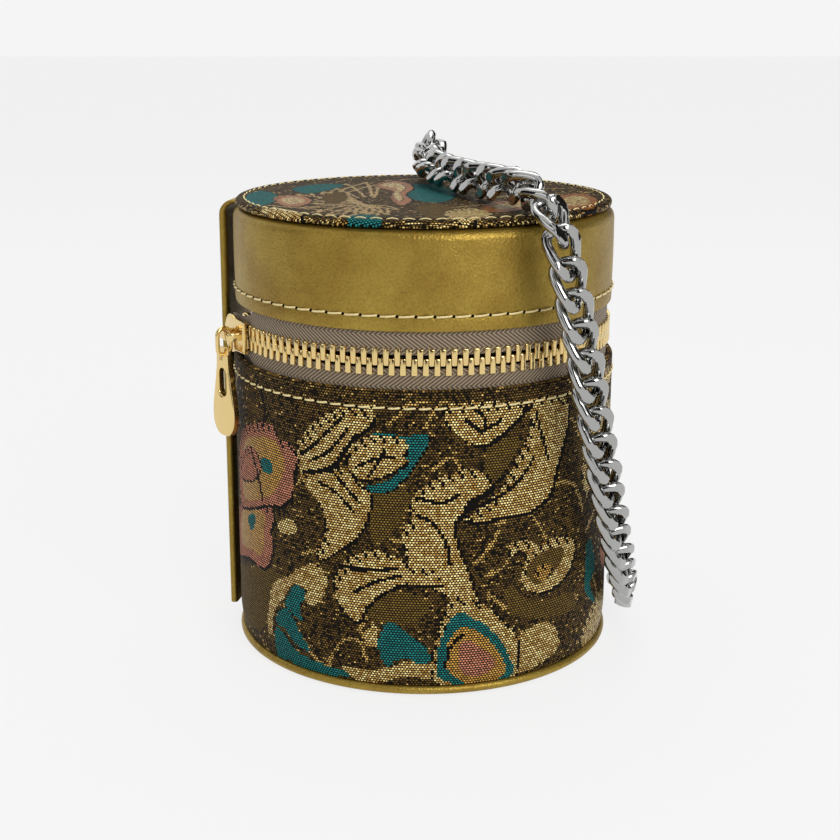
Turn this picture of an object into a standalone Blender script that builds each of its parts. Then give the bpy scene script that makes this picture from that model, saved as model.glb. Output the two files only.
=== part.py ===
"""Cylinder bag: a small round box bag with a zip round its lid and a chain handle.

Metres, +Z up. The origin is the middle of the base, on the surface that the bag
stands on. The front of the bag faces -Y. A bearing is an angle round the bag,
counted from the front (-Y) towards the right side (+X).
"""

import math

import bmesh
import bpy
from mathutils import Matrix, Vector
from mathutils.bvhtree import BVHTree

MM = 0.001

# Body of the bag
BODY_RADIUS = 48.0 * MM
BODY_TOP = 74.5 * MM
BROCADE_THICKNESS = 1.4 * MM
STIFFENER_THICKNESS = 1.6 * MM
LINING_THICKNESS = 0.5 * MM
FIT_GAP = 0.3 * MM
EDGE_ROUND = 0.5 * MM
SEAM_DEPTH = 6.5 * MM

# Base
BASE_COVER_THICKNESS = 1.0 * MM
BASE_BOARD_THICKNESS = 2.0 * MM
BINDING_PROUD = 0.6 * MM
BINDING_RADIUS = BODY_RADIUS + BINDING_PROUD
BINDING_HEIGHT = 4.2 * MM
BINDING_WIDTH = 2.2 * MM

# Lid
ZIP_OPENING = 13.3 * MM
BAND_SET_IN = 0.7 * MM
BAND_HEIGHT = 22.8 * MM
BAND_RADIUS = BODY_RADIUS - BAND_SET_IN
BAND_BOTTOM = BODY_TOP + ZIP_OPENING
BAND_TOP = BAND_BOTTOM + BAND_HEIGHT
BAND_THICKNESS = 0.7 * MM
BAND_SHOULDER = 2.4 * MM
BAND_TURN_IN = 4.0 * MM
LID_BOARD_THICKNESS = 2.0 * MM
DISC_SET_IN = 0.7 * MM
DISC_RADIUS = BAND_RADIUS - DISC_SET_IN
DISC_THICKNESS = 2.0 * MM
DISC_DOME = 0.3 * MM
DISC_ROLL = 1.0 * MM

# Zip
ZIP_DROP = 0.35 * MM
ZIP_HEIGHT = 0.5 * (BODY_TOP + BAND_BOTTOM) - ZIP_DROP
TAPE_THICKNESS = 0.5 * MM
TOOTH_PITCH = 2.54 * MM
TOOTH_WIDTH = 1.0 * MM
TOOTH_LEG = 2.9 * MM
TOOTH_HEAD = 0.9 * MM
TOOTH_THICKNESS = 2.1 * MM
BEAD_HEIGHT = 0.8 * MM
ROW_SHIFT = 0.25
ZIP_START_BEARING = -62.0
ZIP_SWEEP = 312.0
TAPE_PAST_STOP = 6.0 * MM
TAIL_LENGTH = 16.0 * MM
TAIL_TEETH = 4.0 * MM
STOP_LENGTH = 3.0 * MM

# Slider and pull
SLIDER_LENGTH = 12.0 * MM
SLIDER_MOUTH_GAP = 1.5 * MM
SLIDER_HALF_WIDTH = 4.7 * MM
SLIDER_MOUTH_HALF = 3.9 * MM
SLIDER_PLATE = 1.1 * MM
SLIDER_FLANGE = 0.7 * MM
SLIDER_SLOT = 1.1 * MM
BRIDGE_RISE = 3.0 * MM
BRIDGE_STRAP = 0.9 * MM
BRIDGE_WIDTH = 2.0 * MM
BRIDGE_SPAN = 7.4 * MM
BRIDGE_CORNER = 1.1 * MM
WEDGE_HALF = 1.5 * MM
CHANNEL_PLAY = 0.4 * MM
LINK_WIRE = 1.1 * MM
LINK_INNER_RADIUS = 1.3 * MM
LINK_DROP = 3.2 * MM
TAB_LENGTH = 22.4 * MM
TAB_WIDTH = 9.0 * MM
TAB_THICKNESS = 2.0 * MM
TAB_NECK = 4.6 * MM
TAB_TWIST = 12.0
TAB_BELLY = 1.0 * MM
TAB_NECK_ROUND = 0.8 * MM
EYE_WIDTH = 2.4 * MM
EYE_HEIGHT = 2.5 * MM
SLOT_LENGTH = 7.0 * MM
SLOT_WIDTH = 3.4 * MM
SLOT_BELOW_EYE = 1.4 * MM
TAB_BAR = 0.55 * MM
TAB_BAR_ABOVE = 0.2 * MM
TAB_BAR_DEPTH = 1.0 * MM

# Leather hinge strip
STRIP_BEARING = -101.0
STRIP_WIDTH = 21.0 * MM
STRIP_THICKNESS = 1.8 * MM
STRIP_TUCK_THICKNESS = 0.9 * MM
STRIP_BEND = 4.0 * MM
STRIP_TUCK = 6.1 * MM
STRIP_TUCK_RADIUS = DISC_RADIUS - STRIP_TUCK

# Ring for the chain, at the back of the lid
RING_BEARING = 174.0
RING_WIRE = 1.8 * MM
RING_WIDTH = 15.0 * MM
RING_HEIGHT = 10.0 * MM
RING_BAR_BELOW_TOP = 11.6 * MM
RING_BAR_HEIGHT = BAND_TOP - RING_BAR_BELOW_TOP
RING_TILT = 55.0
BOW_FOOT = 0.1
TAB_LEATHER = 1.0 * MM
TAB_LEATHER_WIDTH = 8.0 * MM
TAB_LEATHER_LENGTH = 8.0 * MM
TAB_LEATHER_SLOPE = 2.0 * MM

# Curb chain
CHAIN_PITCH = 7.2 * MM
CHAIN_SEAT_STEP = 1.0
CHAIN_SEAT_DEPTH = 2.0
CHAIN_SEAT_LIMIT = 45
CHAIN_WIRE = 2.05 * MM
CHAIN_LENGTH_OF_LINK = 10.8 * MM
CHAIN_WIDTH_OF_LINK = 6.4 * MM
CHAIN_TWIST = -1.8 * MM
CHAIN_SIDES = 4
CHAIN_FLAT = 1.12
CHAIN_SQUARENESS = 0.82
CHAIN_STEPS = 10
ROUTE_SAMPLES = 40
HEADING_SAMPLES = 12

RING_SEGMENTS = 44


def hex_colour(code):
    """Turn an sRGB hex code into linear red, green, blue and alpha."""
    parts = [int(code[i:i + 2], 16) / 255 for i in (0, 2, 4)]
    linear = [c / 12.92 if c <= 0.04045 else ((c + 0.055) / 1.055) ** 2.4 for c in parts]
    return (*linear, 1.0)


def make_material(name, code, roughness, metallic=0.0):
    material = bpy.data.materials.new(name)
    material.use_nodes = True
    shader = material.node_tree.nodes["Principled BSDF"]
    shader.inputs["Base Color"].default_value = hex_colour(code)
    shader.inputs["Roughness"].default_value = roughness
    shader.inputs["Metallic"].default_value = metallic
    material.diffuse_color = hex_colour(code)
    return material


def outward(bearing):
    """Unit vector that points out of the bag at a bearing in degrees."""
    angle = math.radians(bearing)
    return Vector((math.sin(angle), -math.cos(angle), 0.0))


def along(bearing):
    """Unit vector round the bag, towards a larger bearing."""
    angle = math.radians(bearing)
    return Vector((math.cos(angle), math.sin(angle), 0.0))


def add_node(name, bm, material, parent=None):
    """Close a bmesh off as a named object whose mesh is in world coordinates."""
    bmesh.ops.remove_doubles(bm, verts=bm.verts, dist=0.001 * MM)
    bmesh.ops.recalc_face_normals(bm, faces=bm.faces)
    mesh = bpy.data.meshes.new(name)
    bm.to_mesh(mesh)
    bm.free()
    mesh.materials.append(material)
    mesh.shade_smooth()
    mesh.set_sharp_from_angle(angle=math.radians(35))
    node = bpy.data.objects.new(name, mesh)
    bpy.context.collection.objects.link(node)
    if parent is not None:
        node.parent = parent
        node.matrix_parent_inverse = parent.matrix_world.inverted()
    return node


def add_pivot(name, place, parent=None):
    """Add an empty on a joint's axis; the pieces that move with it hang under it."""
    pivot = bpy.data.objects.new(name, None)
    bpy.context.collection.objects.link(pivot)
    pivot.matrix_world = Matrix.Translation(place)
    if parent is not None:
        pivot.parent = parent
        pivot.matrix_parent_inverse = parent.matrix_world.inverted()
    bpy.context.view_layer.update()
    return pivot


def turned(profile):
    """Turn a closed profile of (radius, height) points round the bag's axis."""
    bm = bmesh.new()
    verts = [bm.verts.new((0.0, -radius, height)) for radius, height in profile]
    edges = [bm.edges.new((verts[i], verts[(i + 1) % len(verts)])) for i in range(len(verts))
             if profile[i][0] > 0 or profile[(i + 1) % len(verts)][0] > 0]
    bmesh.ops.spin(bm, geom=verts + edges, cent=(0, 0, 0), axis=(0, 0, 1),
                   angle=math.tau, steps=RING_SEGMENTS, use_merge=True)
    bmesh.ops.remove_doubles(bm, verts=bm.verts, dist=0.001 * MM)
    return bm


def add_disc(name, radius, bottom, top, material, parent=None):
    return add_node(name, turned([(0, bottom), (radius, bottom), (radius, top), (0, top)]),
                    material, parent)


def add_prism(bm, outline, to_world, low, high):
    """Extrude a flat outline of (a, b) points from depth low to depth high."""
    verts = [bm.verts.new(to_world(a, b, low)) for a, b in outline]
    face = bm.faces.new(verts)
    lifted = bmesh.ops.extrude_face_region(bm, geom=[face])
    moved = [item for item in lifted["geom"] if isinstance(item, bmesh.types.BMVert)]
    offset = to_world(0, 0, high) - to_world(0, 0, low)
    bmesh.ops.translate(bm, verts=moved, vec=offset)


def add_tube(bm, centres, sections):
    """Join closed sections round a closed path; a section is a list of points."""
    rings = [[bm.verts.new(point) for point in section] for section in sections]
    count = len(centres)
    sides = len(rings[0])
    for i in range(count):
        here = rings[i]
        there = rings[(i + 1) % count]
        for j in range(sides):
            bm.faces.new((here[j], here[(j + 1) % sides], there[(j + 1) % sides], there[j]))


def cut(target, bm, name):
    """Cut a closed shape out of a node, and leave the cutter as a hidden guide."""
    bmesh.ops.recalc_face_normals(bm, faces=bm.faces)
    mesh = bpy.data.meshes.new(name)
    bm.to_mesh(mesh)
    bm.free()
    cutter = bpy.data.objects.new(name, mesh)
    bpy.context.collection.objects.link(cutter)
    cutter.hide_render = True
    cutter.display_type = "WIRE"
    if target.parent is not None:
        cutter.parent = target.parent
        cutter.matrix_parent_inverse = target.parent.matrix_world.inverted()
    boolean = target.modifiers.new(name, "BOOLEAN")
    boolean.operation = "DIFFERENCE"
    boolean.solver = "EXACT"
    boolean.object = cutter


# The layers of the wall, from the zip tape outwards and inwards
BROCADE_INNER = BODY_RADIUS - BROCADE_THICKNESS
TAPE_RADIUS = BROCADE_INNER - FIT_GAP - 0.5 * TAPE_THICKNESS
STIFFENER_RADIUS = TAPE_RADIUS - 0.5 * TAPE_THICKNESS - FIT_GAP
STIFFENER_INNER = STIFFENER_RADIUS - STIFFENER_THICKNESS
LINING_RADIUS = STIFFENER_INNER - FIT_GAP
LINING_INNER = LINING_RADIUS - LINING_THICKNESS

BASE_BOARD_BOTTOM = BASE_COVER_THICKNESS + FIT_GAP
BASE_BOARD_TOP = BASE_BOARD_BOTTOM + BASE_BOARD_THICKNESS
BASE_LINING_TOP = BASE_BOARD_TOP + FIT_GAP + LINING_THICKNESS
BINDING_INNER = BINDING_RADIUS - BINDING_WIDTH
TAPE_LOW_EDGE = BODY_TOP - SEAM_DEPTH
TAPE_HIGH_EDGE = BAND_BOTTOM + SEAM_DEPTH
LID_BOARD_TOP = BAND_TOP - BAND_THICKNESS
LID_BOARD_BOTTOM = LID_BOARD_TOP - LID_BOARD_THICKNESS
LID_LINING_TOP = LID_BOARD_BOTTOM - FIT_GAP
DISC_BOTTOM = BAND_TOP + FIT_GAP
DISC_TOP = DISC_BOTTOM + DISC_THICKNESS


def build_base(leather, board, lining):
    """Leather base, the board on it, the lining over the board and the binding round it."""
    cover_radius = BINDING_INNER - FIT_GAP
    add_disc("base_cover", cover_radius, 0.0, BASE_COVER_THICKNESS, leather)
    add_disc("base_board", STIFFENER_INNER - FIT_GAP, BASE_BOARD_BOTTOM, BASE_BOARD_TOP, board)
    add_disc("base_lining", LINING_INNER - FIT_GAP, BASE_BOARD_TOP + FIT_GAP, BASE_LINING_TOP, lining)
    lip = 0.35 * BINDING_WIDTH
    add_node("base_binding", turned([
        (BINDING_INNER, 0.0),
        (BINDING_RADIUS - lip, 0.0),
        (BINDING_RADIUS, lip),
        (BINDING_RADIUS, BINDING_HEIGHT - lip),
        (BINDING_RADIUS - lip, BINDING_HEIGHT),
        (BINDING_INNER, BINDING_HEIGHT)]), leather)


def build_body(brocade, board, lining):
    """The round wall: brocade outside, a board tube inside it, and the lining."""
    seam = TAPE_LOW_EDGE - FIT_GAP
    foot = BINDING_HEIGHT + FIT_GAP
    backed = STIFFENER_RADIUS + FIT_GAP
    add_node("body_brocade", turned([
        (backed, foot),
        (BODY_RADIUS, foot),
        (BODY_RADIUS, BODY_TOP - EDGE_ROUND),
        (BODY_RADIUS - EDGE_ROUND, BODY_TOP),
        (BROCADE_INNER, BODY_TOP),
        (BROCADE_INNER, seam),
        (backed, seam)]), brocade)
    wall_foot = BASE_COVER_THICKNESS + FIT_GAP
    add_node("body_stiffener", turned([
        (STIFFENER_INNER, wall_foot),
        (STIFFENER_RADIUS, wall_foot),
        (STIFFENER_RADIUS, BODY_TOP),
        (STIFFENER_INNER, BODY_TOP)]), board)
    add_node("body_lining", turned([
        (LINING_INNER, BASE_BOARD_TOP + FIT_GAP),
        (LINING_RADIUS, BASE_BOARD_TOP + FIT_GAP),
        (LINING_RADIUS, BODY_TOP),
        (LINING_INNER, BODY_TOP)]), lining)


def build_lid(leather, brocade, board, lining, pivot):
    """The lid: a leather band over a board ring, a board top, lining and a padded disc."""
    band_inner = BAND_RADIUS - BAND_THICKNESS
    shoulder = BAND_RADIUS - BAND_SHOULDER
    corner = BAND_SHOULDER * (1 - math.sqrt(0.5))
    seam = TAPE_HIGH_EDGE + FIT_GAP
    backed = STIFFENER_RADIUS + FIT_GAP
    turn = BAND_RADIUS - BAND_TURN_IN
    add_node("lid_band", turned([
        (band_inner, BAND_BOTTOM),
        (BAND_RADIUS, BAND_BOTTOM),
        (BAND_RADIUS, BAND_TOP - BAND_SHOULDER),
        (BAND_RADIUS - corner, BAND_TOP - corner),
        (shoulder, BAND_TOP),
        (turn, BAND_TOP),
        (turn, BAND_TOP - BAND_THICKNESS + FIT_GAP),
        (backed - 0.5 * BAND_SHOULDER, BAND_TOP - BAND_THICKNESS + FIT_GAP),
        (backed, BAND_TOP - BAND_SHOULDER),
        (backed, seam),
        (band_inner, seam)]), leather, pivot)
    add_node("lid_stiffener", turned([
        (STIFFENER_INNER, BAND_BOTTOM),
        (STIFFENER_RADIUS, BAND_BOTTOM),
        (STIFFENER_RADIUS, BAND_TOP - BAND_SHOULDER),
        (STIFFENER_INNER, BAND_TOP - BAND_SHOULDER)]), board, pivot)
    add_node("lid_lining", turned([
        (LINING_INNER, BAND_BOTTOM),
        (LINING_RADIUS, BAND_BOTTOM),
        (LINING_RADIUS, LID_LINING_TOP),
        (LINING_INNER, LID_LINING_TOP)]), lining, pivot)
    add_disc("lid_top_lining", LINING_INNER - FIT_GAP, LID_LINING_TOP - LINING_THICKNESS,
             LID_LINING_TOP, lining, pivot)
    add_disc("lid_board", turn - FIT_GAP, LID_BOARD_BOTTOM, DISC_BOTTOM, board, pivot)
    disc = add_node("lid_top", turned([
        (0, DISC_BOTTOM),
        (DISC_RADIUS - DISC_ROLL, DISC_BOTTOM),
        (DISC_RADIUS, 0.5 * (DISC_BOTTOM + DISC_TOP)),
        (DISC_RADIUS - DISC_ROLL, DISC_TOP),
        (0.6 * DISC_RADIUS, DISC_TOP + 0.8 * DISC_DOME),
        (0, DISC_TOP + DISC_DOME)]), brocade, pivot)
    pocket = bmesh.new()
    half = 0.5 * STRIP_WIDTH + FIT_GAP
    add_prism(pocket, [(STRIP_TUCK_RADIUS - FIT_GAP, -half), (DISC_RADIUS + DISC_ROLL, -half),
                       (DISC_RADIUS + DISC_ROLL, half), (STRIP_TUCK_RADIUS - FIT_GAP, half)],
              strip_place, DISC_BOTTOM - DISC_ROLL, DISC_BOTTOM + STRIP_TUCK_THICKNESS + FIT_GAP)
    cut(disc, pocket, "strip_pocket")


def strip_place(radius, side, height):
    """A point on the flat hinge strip, from its distance out, sideways place and height."""
    return radius * outward(STRIP_BEARING) + side * along(STRIP_BEARING) + Vector((0, 0, height))


def build_strip(leather):
    """A flat leather strip that runs up the side and hinges the lid at the zip's gap."""
    inner = BODY_RADIUS + FIT_GAP
    outer = inner + STRIP_THICKNESS
    foot = BINDING_HEIGHT + FIT_GAP
    tuck_low = DISC_BOTTOM
    tuck_high = tuck_low + STRIP_TUCK_THICKNESS
    bend = STRIP_BEND
    steps = 3
    outline = [(inner + 0.5 * STRIP_THICKNESS, foot), (outer, foot + 0.5 * STRIP_THICKNESS)]
    for i in range(steps + 1):
        turn = 0.5 * math.pi * i / steps
        outline.append((outer - bend + bend * math.cos(turn), tuck_high - bend + bend * math.sin(turn)))
    outline.append((STRIP_TUCK_RADIUS, tuck_high))
    outline.append((STRIP_TUCK_RADIUS, tuck_low))
    inside = bend - STRIP_TUCK_THICKNESS
    for i in range(steps + 1):
        turn = 0.5 * math.pi * (1 - i / steps)
        outline.append((inner - inside + inside * math.cos(turn), tuck_low - inside + inside * math.sin(turn)))
    outline.append((inner, foot))
    bm = bmesh.new()
    half = 0.5 * STRIP_WIDTH
    add_prism(bm, outline, lambda a, b, depth: strip_place(a, depth, b), -half, half)
    add_node("hinge_strip", bm, leather)


def zip_frame(distance):
    """Place and outward direction on the zip; negative distances lie on its straight tail."""
    if distance < 0:
        direction = outward(ZIP_START_BEARING)
        return TAPE_RADIUS * direction + distance * along(ZIP_START_BEARING), direction
    direction = outward(ZIP_START_BEARING + math.degrees(distance / TAPE_RADIUS))
    return TAPE_RADIUS * direction, direction


ZIP_LENGTH = math.radians(ZIP_SWEEP) * TAPE_RADIUS
STOP_DISTANCE = ZIP_LENGTH - TAPE_PAST_STOP - 0.5 * STOP_LENGTH


def build_tape(name, side, sewn_edge, free_edge, material, parent):
    """One woven tape: side is -1 for the tape on the body and 1 for the one on the lid."""
    segment = math.radians(360 / RING_SEGMENTS) * TAPE_RADIUS
    count = math.ceil(ZIP_LENGTH / segment)
    places = [-TAIL_LENGTH, -0.5 * MM] + [ZIP_LENGTH * i / count for i in range(count + 1)]
    edge = ZIP_HEIGHT + side * TOOTH_LEG
    bm = bmesh.new()
    rings = []
    for distance in places:
        point, direction = zip_frame(distance)
        far = free_edge if distance < 0 else sewn_edge
        corners = [(0.5, edge), (0.5, far), (-0.5, far), (-0.5, edge)]
        rings.append([bm.verts.new(point + share * TAPE_THICKNESS * direction + Vector((0, 0, height)))
                      for share, height in corners])
    for here, there in zip(rings, rings[1:]):
        for j in range(4):
            bm.faces.new((here[j], here[(j + 1) % 4], there[(j + 1) % 4], there[j]))
    bm.faces.new(rings[0])
    bm.faces.new(rings[-1])
    return add_node(name, bm, material, parent)


def build_teeth(name, side, material, parent):
    """One row of teeth on the corded edge of its tape, meshed half a pitch from the other row."""
    shift = ROW_SHIFT * side * TOOTH_PITCH
    root = ZIP_HEIGHT + side * TOOTH_LEG
    bead = root - side * BEAD_HEIGHT
    head = ZIP_HEIGHT - side * TOOTH_HEAD
    half = 0.5 * TOOTH_THICKNESS
    first = -TAIL_TEETH
    room = STOP_DISTANCE - 0.5 * STOP_LENGTH - first - 0.5 * TOOTH_WIDTH
    count = int(room / TOOTH_PITCH + 0.5 - ROW_SHIFT)
    bm = bmesh.new()
    before = None
    for i in range(count):
        middle = first + (i + 0.5) * TOOTH_PITCH + shift
        sides = []
        for step in (-0.5, 0.5):
            point, direction = zip_frame(middle + step * TOOTH_WIDTH)
            sides.append([bm.verts.new(point + out * direction + Vector((0, 0, height)))
                          for out, height in ((half, root), (0.0, bead), (-half, root),
                                              (-half, head), (half, head))])
        left, right = sides
        for a, b in ((2, 3), (3, 4), (4, 0), (0, 2)):
            bm.faces.new((left[a], left[b], right[b], right[a]))
        bm.faces.new(left)
        bm.faces.new(right)
        if before is None:
            bm.faces.new(left[:3])
        else:
            for a, b in ((0, 1), (1, 2), (2, 0)):
                bm.faces.new((before[a], before[b], left[b], left[a]))
        before = right
    bm.faces.new(before[:3])
    return add_node(name, bm, material, parent)


def zip_place(distance):
    """A function that puts (along, up, out) measures on the zip at one distance."""
    point, direction = zip_frame(distance)
    sideways = Vector((0, 0, 1)).cross(direction)

    def place(a, b, depth):
        return point + a * sideways + Vector((0, 0, ZIP_HEIGHT + b)) + depth * direction

    return place


def build_end_stop(brass):
    place = zip_place(STOP_DISTANCE)
    half_length = 0.5 * STOP_LENGTH - FIT_GAP
    half_height = TOOTH_LEG - FIT_GAP
    bm = bmesh.new()
    add_prism(bm, [(-half_length, -half_height), (half_length, -half_height),
                   (half_length, half_height), (-half_length, half_height)],
              place, -0.5 * TOOTH_THICKNESS, 0.5 * TOOTH_THICKNESS)
    add_node("zip_end_stop", bm, brass)


SLIDER_DISTANCE = -SLIDER_MOUTH_GAP - 0.5 * SLIDER_LENGTH
CHANNEL_HALF = 0.5 * TOOTH_THICKNESS + CHANNEL_PLAY
PLATE_OUTER = CHANNEL_HALF + SLIDER_PLATE
PLATE_MIDDLE = PLATE_OUTER - 0.3 * SLIDER_PLATE
STRAP_CENTRE = PLATE_OUTER + BRIDGE_RISE - 0.5 * BRIDGE_STRAP


def slider_outline():
    """Shield outline of a slider plate: narrow over the closed teeth, wide at the nose."""
    half = 0.5 * SLIDER_LENGTH
    mouth = SLIDER_MOUTH_HALF
    wide = SLIDER_HALF_WIDTH
    upper = [(half, 0.9 * mouth), (0.45 * half, mouth), (0.05 * half, mouth + 0.3 * (wide - mouth)),
             (-0.3 * half, wide), (-0.62 * half, 0.93 * wide), (-0.88 * half, 0.6 * wide), (-half, 0.22 * wide)]
    return upper + [(a, -b) for a, b in reversed(upper)]


def build_slider(brass, pivot):
    """Two plates joined by the wedge that parts the teeth, side flanges and the bridge."""
    place = zip_place(SLIDER_DISTANCE)
    half = 0.5 * SLIDER_LENGTH
    slot = 0.5 * SLIDER_SLOT
    parts = []
    parts.append((slider_outline(), CHANNEL_HALF, PLATE_OUTER))
    parts.append((slider_outline(), -PLATE_OUTER, -CHANNEL_HALF))
    wedge = [(-0.86 * half, 0.0), (-0.7 * half, WEDGE_HALF), (-0.05 * half, 0.0), (-0.7 * half, -WEDGE_HALF)]
    parts.append((wedge, -PLATE_MIDDLE, PLATE_MIDDLE))
    channel = TOOTH_LEG + FIT_GAP
    for side in (1, -1):
        flange = [(0.05 * half, side * channel), (half - FIT_GAP, side * channel),
                  (half - FIT_GAP, side * (channel + 0.6 * SLIDER_FLANGE)),
                  (0.05 * half, side * (channel + 0.6 * SLIDER_FLANGE))]
        parts.append((flange, slot, PLATE_MIDDLE))
        parts.append((flange, -PLATE_MIDDLE, -slot))
    pieces = []
    for outline, low, high in parts:
        piece = bmesh.new()
        add_prism(piece, outline, place, low, high)
        pieces.append(piece)
    span = 0.5 * BRIDGE_SPAN
    top = PLATE_OUTER + BRIDGE_RISE
    root = PLATE_MIDDLE
    corner = BRIDGE_CORNER
    arch = [(-span, root), (-span, top - corner), (-span + corner, top), (span - corner, top),
            (span, top - corner), (span, root)]
    strap = BRIDGE_STRAP
    inner = 0.55 * corner
    under = [(span - strap, root), (span - strap, top - strap - inner), (span - strap - inner, top - strap),
             (-span + strap + inner, top - strap), (-span + strap, top - strap - inner), (-span + strap, root)]
    bridge = bmesh.new()
    add_prism(bridge, arch + under, lambda a, b, depth: place(a, depth, b),
              -0.5 * BRIDGE_WIDTH, 0.5 * BRIDGE_WIDTH)
    pieces.append(bridge)
    slider = add_node("zip_slider", pieces[0], brass, pivot)
    for number, piece in enumerate(pieces[1:]):
        join(slider, piece, f"slider_part_{number}")


def join(target, bm, name):
    """Weld a closed shape to a node, and leave the shape as a hidden guide."""
    bmesh.ops.recalc_face_normals(bm, faces=bm.faces)
    mesh = bpy.data.meshes.new(name)
    bm.to_mesh(mesh)
    bm.free()
    guide = bpy.data.objects.new(name, mesh)
    bpy.context.collection.objects.link(guide)
    guide.hide_render = True
    guide.display_type = "WIRE"
    if target.parent is not None:
        guide.parent = target.parent
        guide.matrix_parent_inverse = target.parent.matrix_world.inverted()
    boolean = target.modifiers.new(name, "BOOLEAN")
    boolean.operation = "UNION"
    boolean.solver = "EXACT"
    boolean.object = guide


def pull_place():
    """Centre of the bridge's strap, and the directions across, out and up for the pull."""
    point, direction = zip_frame(SLIDER_DISTANCE)
    centre = point + STRAP_CENTRE * direction + Vector((0, 0, ZIP_HEIGHT))
    out = outward(ZIP_START_BEARING + TAB_TWIST)
    across = along(ZIP_START_BEARING + TAB_TWIST)
    return centre, across, out


def build_pull_link(brass, pivot):
    """Oval wire link that hangs on the slider's bridge and carries the tab."""
    centre, across, out = pull_place()
    up = Vector((0, 0, 1))
    radius = LINK_INNER_RADIUS + 0.5 * LINK_WIRE
    steps = 5
    sides = 6
    centres = []
    for turn_start, drop in ((0.0, 0.0), (math.pi, -LINK_DROP)):
        for i in range(steps + 1):
            turn = turn_start + math.pi * i / steps
            centres.append((radius * math.cos(turn), drop + radius * math.sin(turn), turn))
    sections = []
    for a, b, turn in centres:
        middle = centre + a * out + b * up
        away = math.cos(turn) * out + math.sin(turn) * up
        sections.append([middle + 0.5 * LINK_WIRE * (math.cos(math.tau * j / sides) * away
                                                     + math.sin(math.tau * j / sides) * across)
                         for j in range(sides)])
    bm = bmesh.new()
    add_tube(bm, centres, sections)
    add_node("pull_link", bm, brass, pivot)


TAB_BAR_DROP = LINK_DROP + LINK_INNER_RADIUS - TAB_BAR - FIT_GAP


def build_pull_tab(brass, pivot):
    """Long drop-shaped tab with an eye for the link and an oval slot."""
    centre, across, out = pull_place()
    top = TAB_BAR + TAB_BAR_ABOVE
    neck = 0.5 * TAB_NECK
    wide = 0.5 * TAB_WIDTH
    low = top - TAB_LENGTH
    outline = [(0.7 * neck, top), (neck, top - TAB_NECK_ROUND), (neck, -EYE_HEIGHT)]
    belly = low + wide
    outline.append((0.82 * wide, -0.42 * TAB_LENGTH))
    steps = 6
    for i in range(steps + 1):
        turn = -0.5 * math.pi * i / steps
        outline.append((wide * math.cos(turn), belly + TAB_BELLY * (1 - i / steps) + wide * math.sin(turn)))
    outline = outline[:-1] + [(0.0, low)] + [(-a, b) for a, b in reversed(outline[:-1])]

    def place(a, b, depth):
        return centre + a * across + depth * out + Vector((0, 0, b - TAB_BAR_DROP))

    half = 0.5 * TAB_THICKNESS
    bm = bmesh.new()
    add_prism(bm, outline, place, -half, half)
    tab = add_node("pull_tab", bm, brass, pivot)
    eye_top = -TAB_BAR
    eye = bmesh.new()
    add_prism(eye, [(-0.5 * EYE_WIDTH, eye_top), (0.5 * EYE_WIDTH, eye_top),
                    (0.5 * EYE_WIDTH, eye_top - EYE_HEIGHT), (-0.5 * EYE_WIDTH, eye_top - EYE_HEIGHT)],
              place, -TAB_THICKNESS, TAB_THICKNESS)
    cut(tab, eye, "tab_eye")
    slot_radius = 0.5 * SLOT_WIDTH
    slot_top = eye_top - EYE_HEIGHT - SLOT_BELOW_EYE
    slot_outline = []
    for start, middle in ((0.0, slot_top - slot_radius), (math.pi, slot_top - SLOT_LENGTH + slot_radius)):
        for i in range(5):
            turn = start + math.pi * i / 4
            slot_outline.append((slot_radius * math.cos(turn), middle + slot_radius * math.sin(turn)))
    slot = bmesh.new()
    add_prism(slot, slot_outline, place, -TAB_THICKNESS, TAB_THICKNESS)
    cut(tab, slot, "tab_slot")
    notch = bmesh.new()
    notch_top = top + TAB_THICKNESS
    notch_low = -TAB_BAR - TAB_BAR_ABOVE
    for low, high in ((0.5 * TAB_BAR_DEPTH, TAB_THICKNESS), (-TAB_THICKNESS, -0.5 * TAB_BAR_DEPTH)):
        add_prism(notch, [(-TAB_NECK, notch_top), (TAB_NECK, notch_top), (TAB_NECK, notch_low),
                          (-TAB_NECK, notch_low)], place, low, high)
    cut(tab, notch, "tab_bar_notches")


def build_ring_tab(leather, pivot):
    """Leather loop sewn on the back of the lid; the ring's straight bar lies in its fold."""
    inner = BAND_RADIUS + FIT_GAP
    bar = RING_BAR_RADIUS
    loop = 0.5 * RING_WIRE + FIT_GAP
    low = RING_BAR_HEIGHT - TAB_LEATHER_LENGTH
    high = RING_BAR_HEIGHT
    steps = 4
    outline = [(inner, low), (inner + 2.1 * TAB_LEATHER, low)]
    outline.append((bar + loop + TAB_LEATHER, high - TAB_LEATHER_SLOPE))
    for i in range(steps + 1):
        turn = math.pi * i / steps
        outline.append((bar + (loop + TAB_LEATHER) * math.cos(turn), high + (loop + TAB_LEATHER) * math.sin(turn)))
    bm = bmesh.new()
    half = 0.5 * TAB_LEATHER_WIDTH

    def place(a, b, depth):
        return a * outward(RING_BEARING) + depth * along(RING_BEARING) + Vector((0, 0, b))

    add_prism(bm, outline, place, -half, half)
    tab = add_node("ring_tab", bm, leather, pivot)
    hole = bmesh.new()
    add_prism(hole, [(bar + loop * math.cos(math.tau * i / 8), high + loop * math.sin(math.tau * i / 8))
                     for i in range(8)], place, -2 * half, 2 * half)
    cut(tab, hole, "ring_tab_fold")


RING_BAR_RADIUS = BAND_RADIUS + FIT_GAP + TAB_LEATHER + FIT_GAP + 0.5 * RING_WIRE


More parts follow.
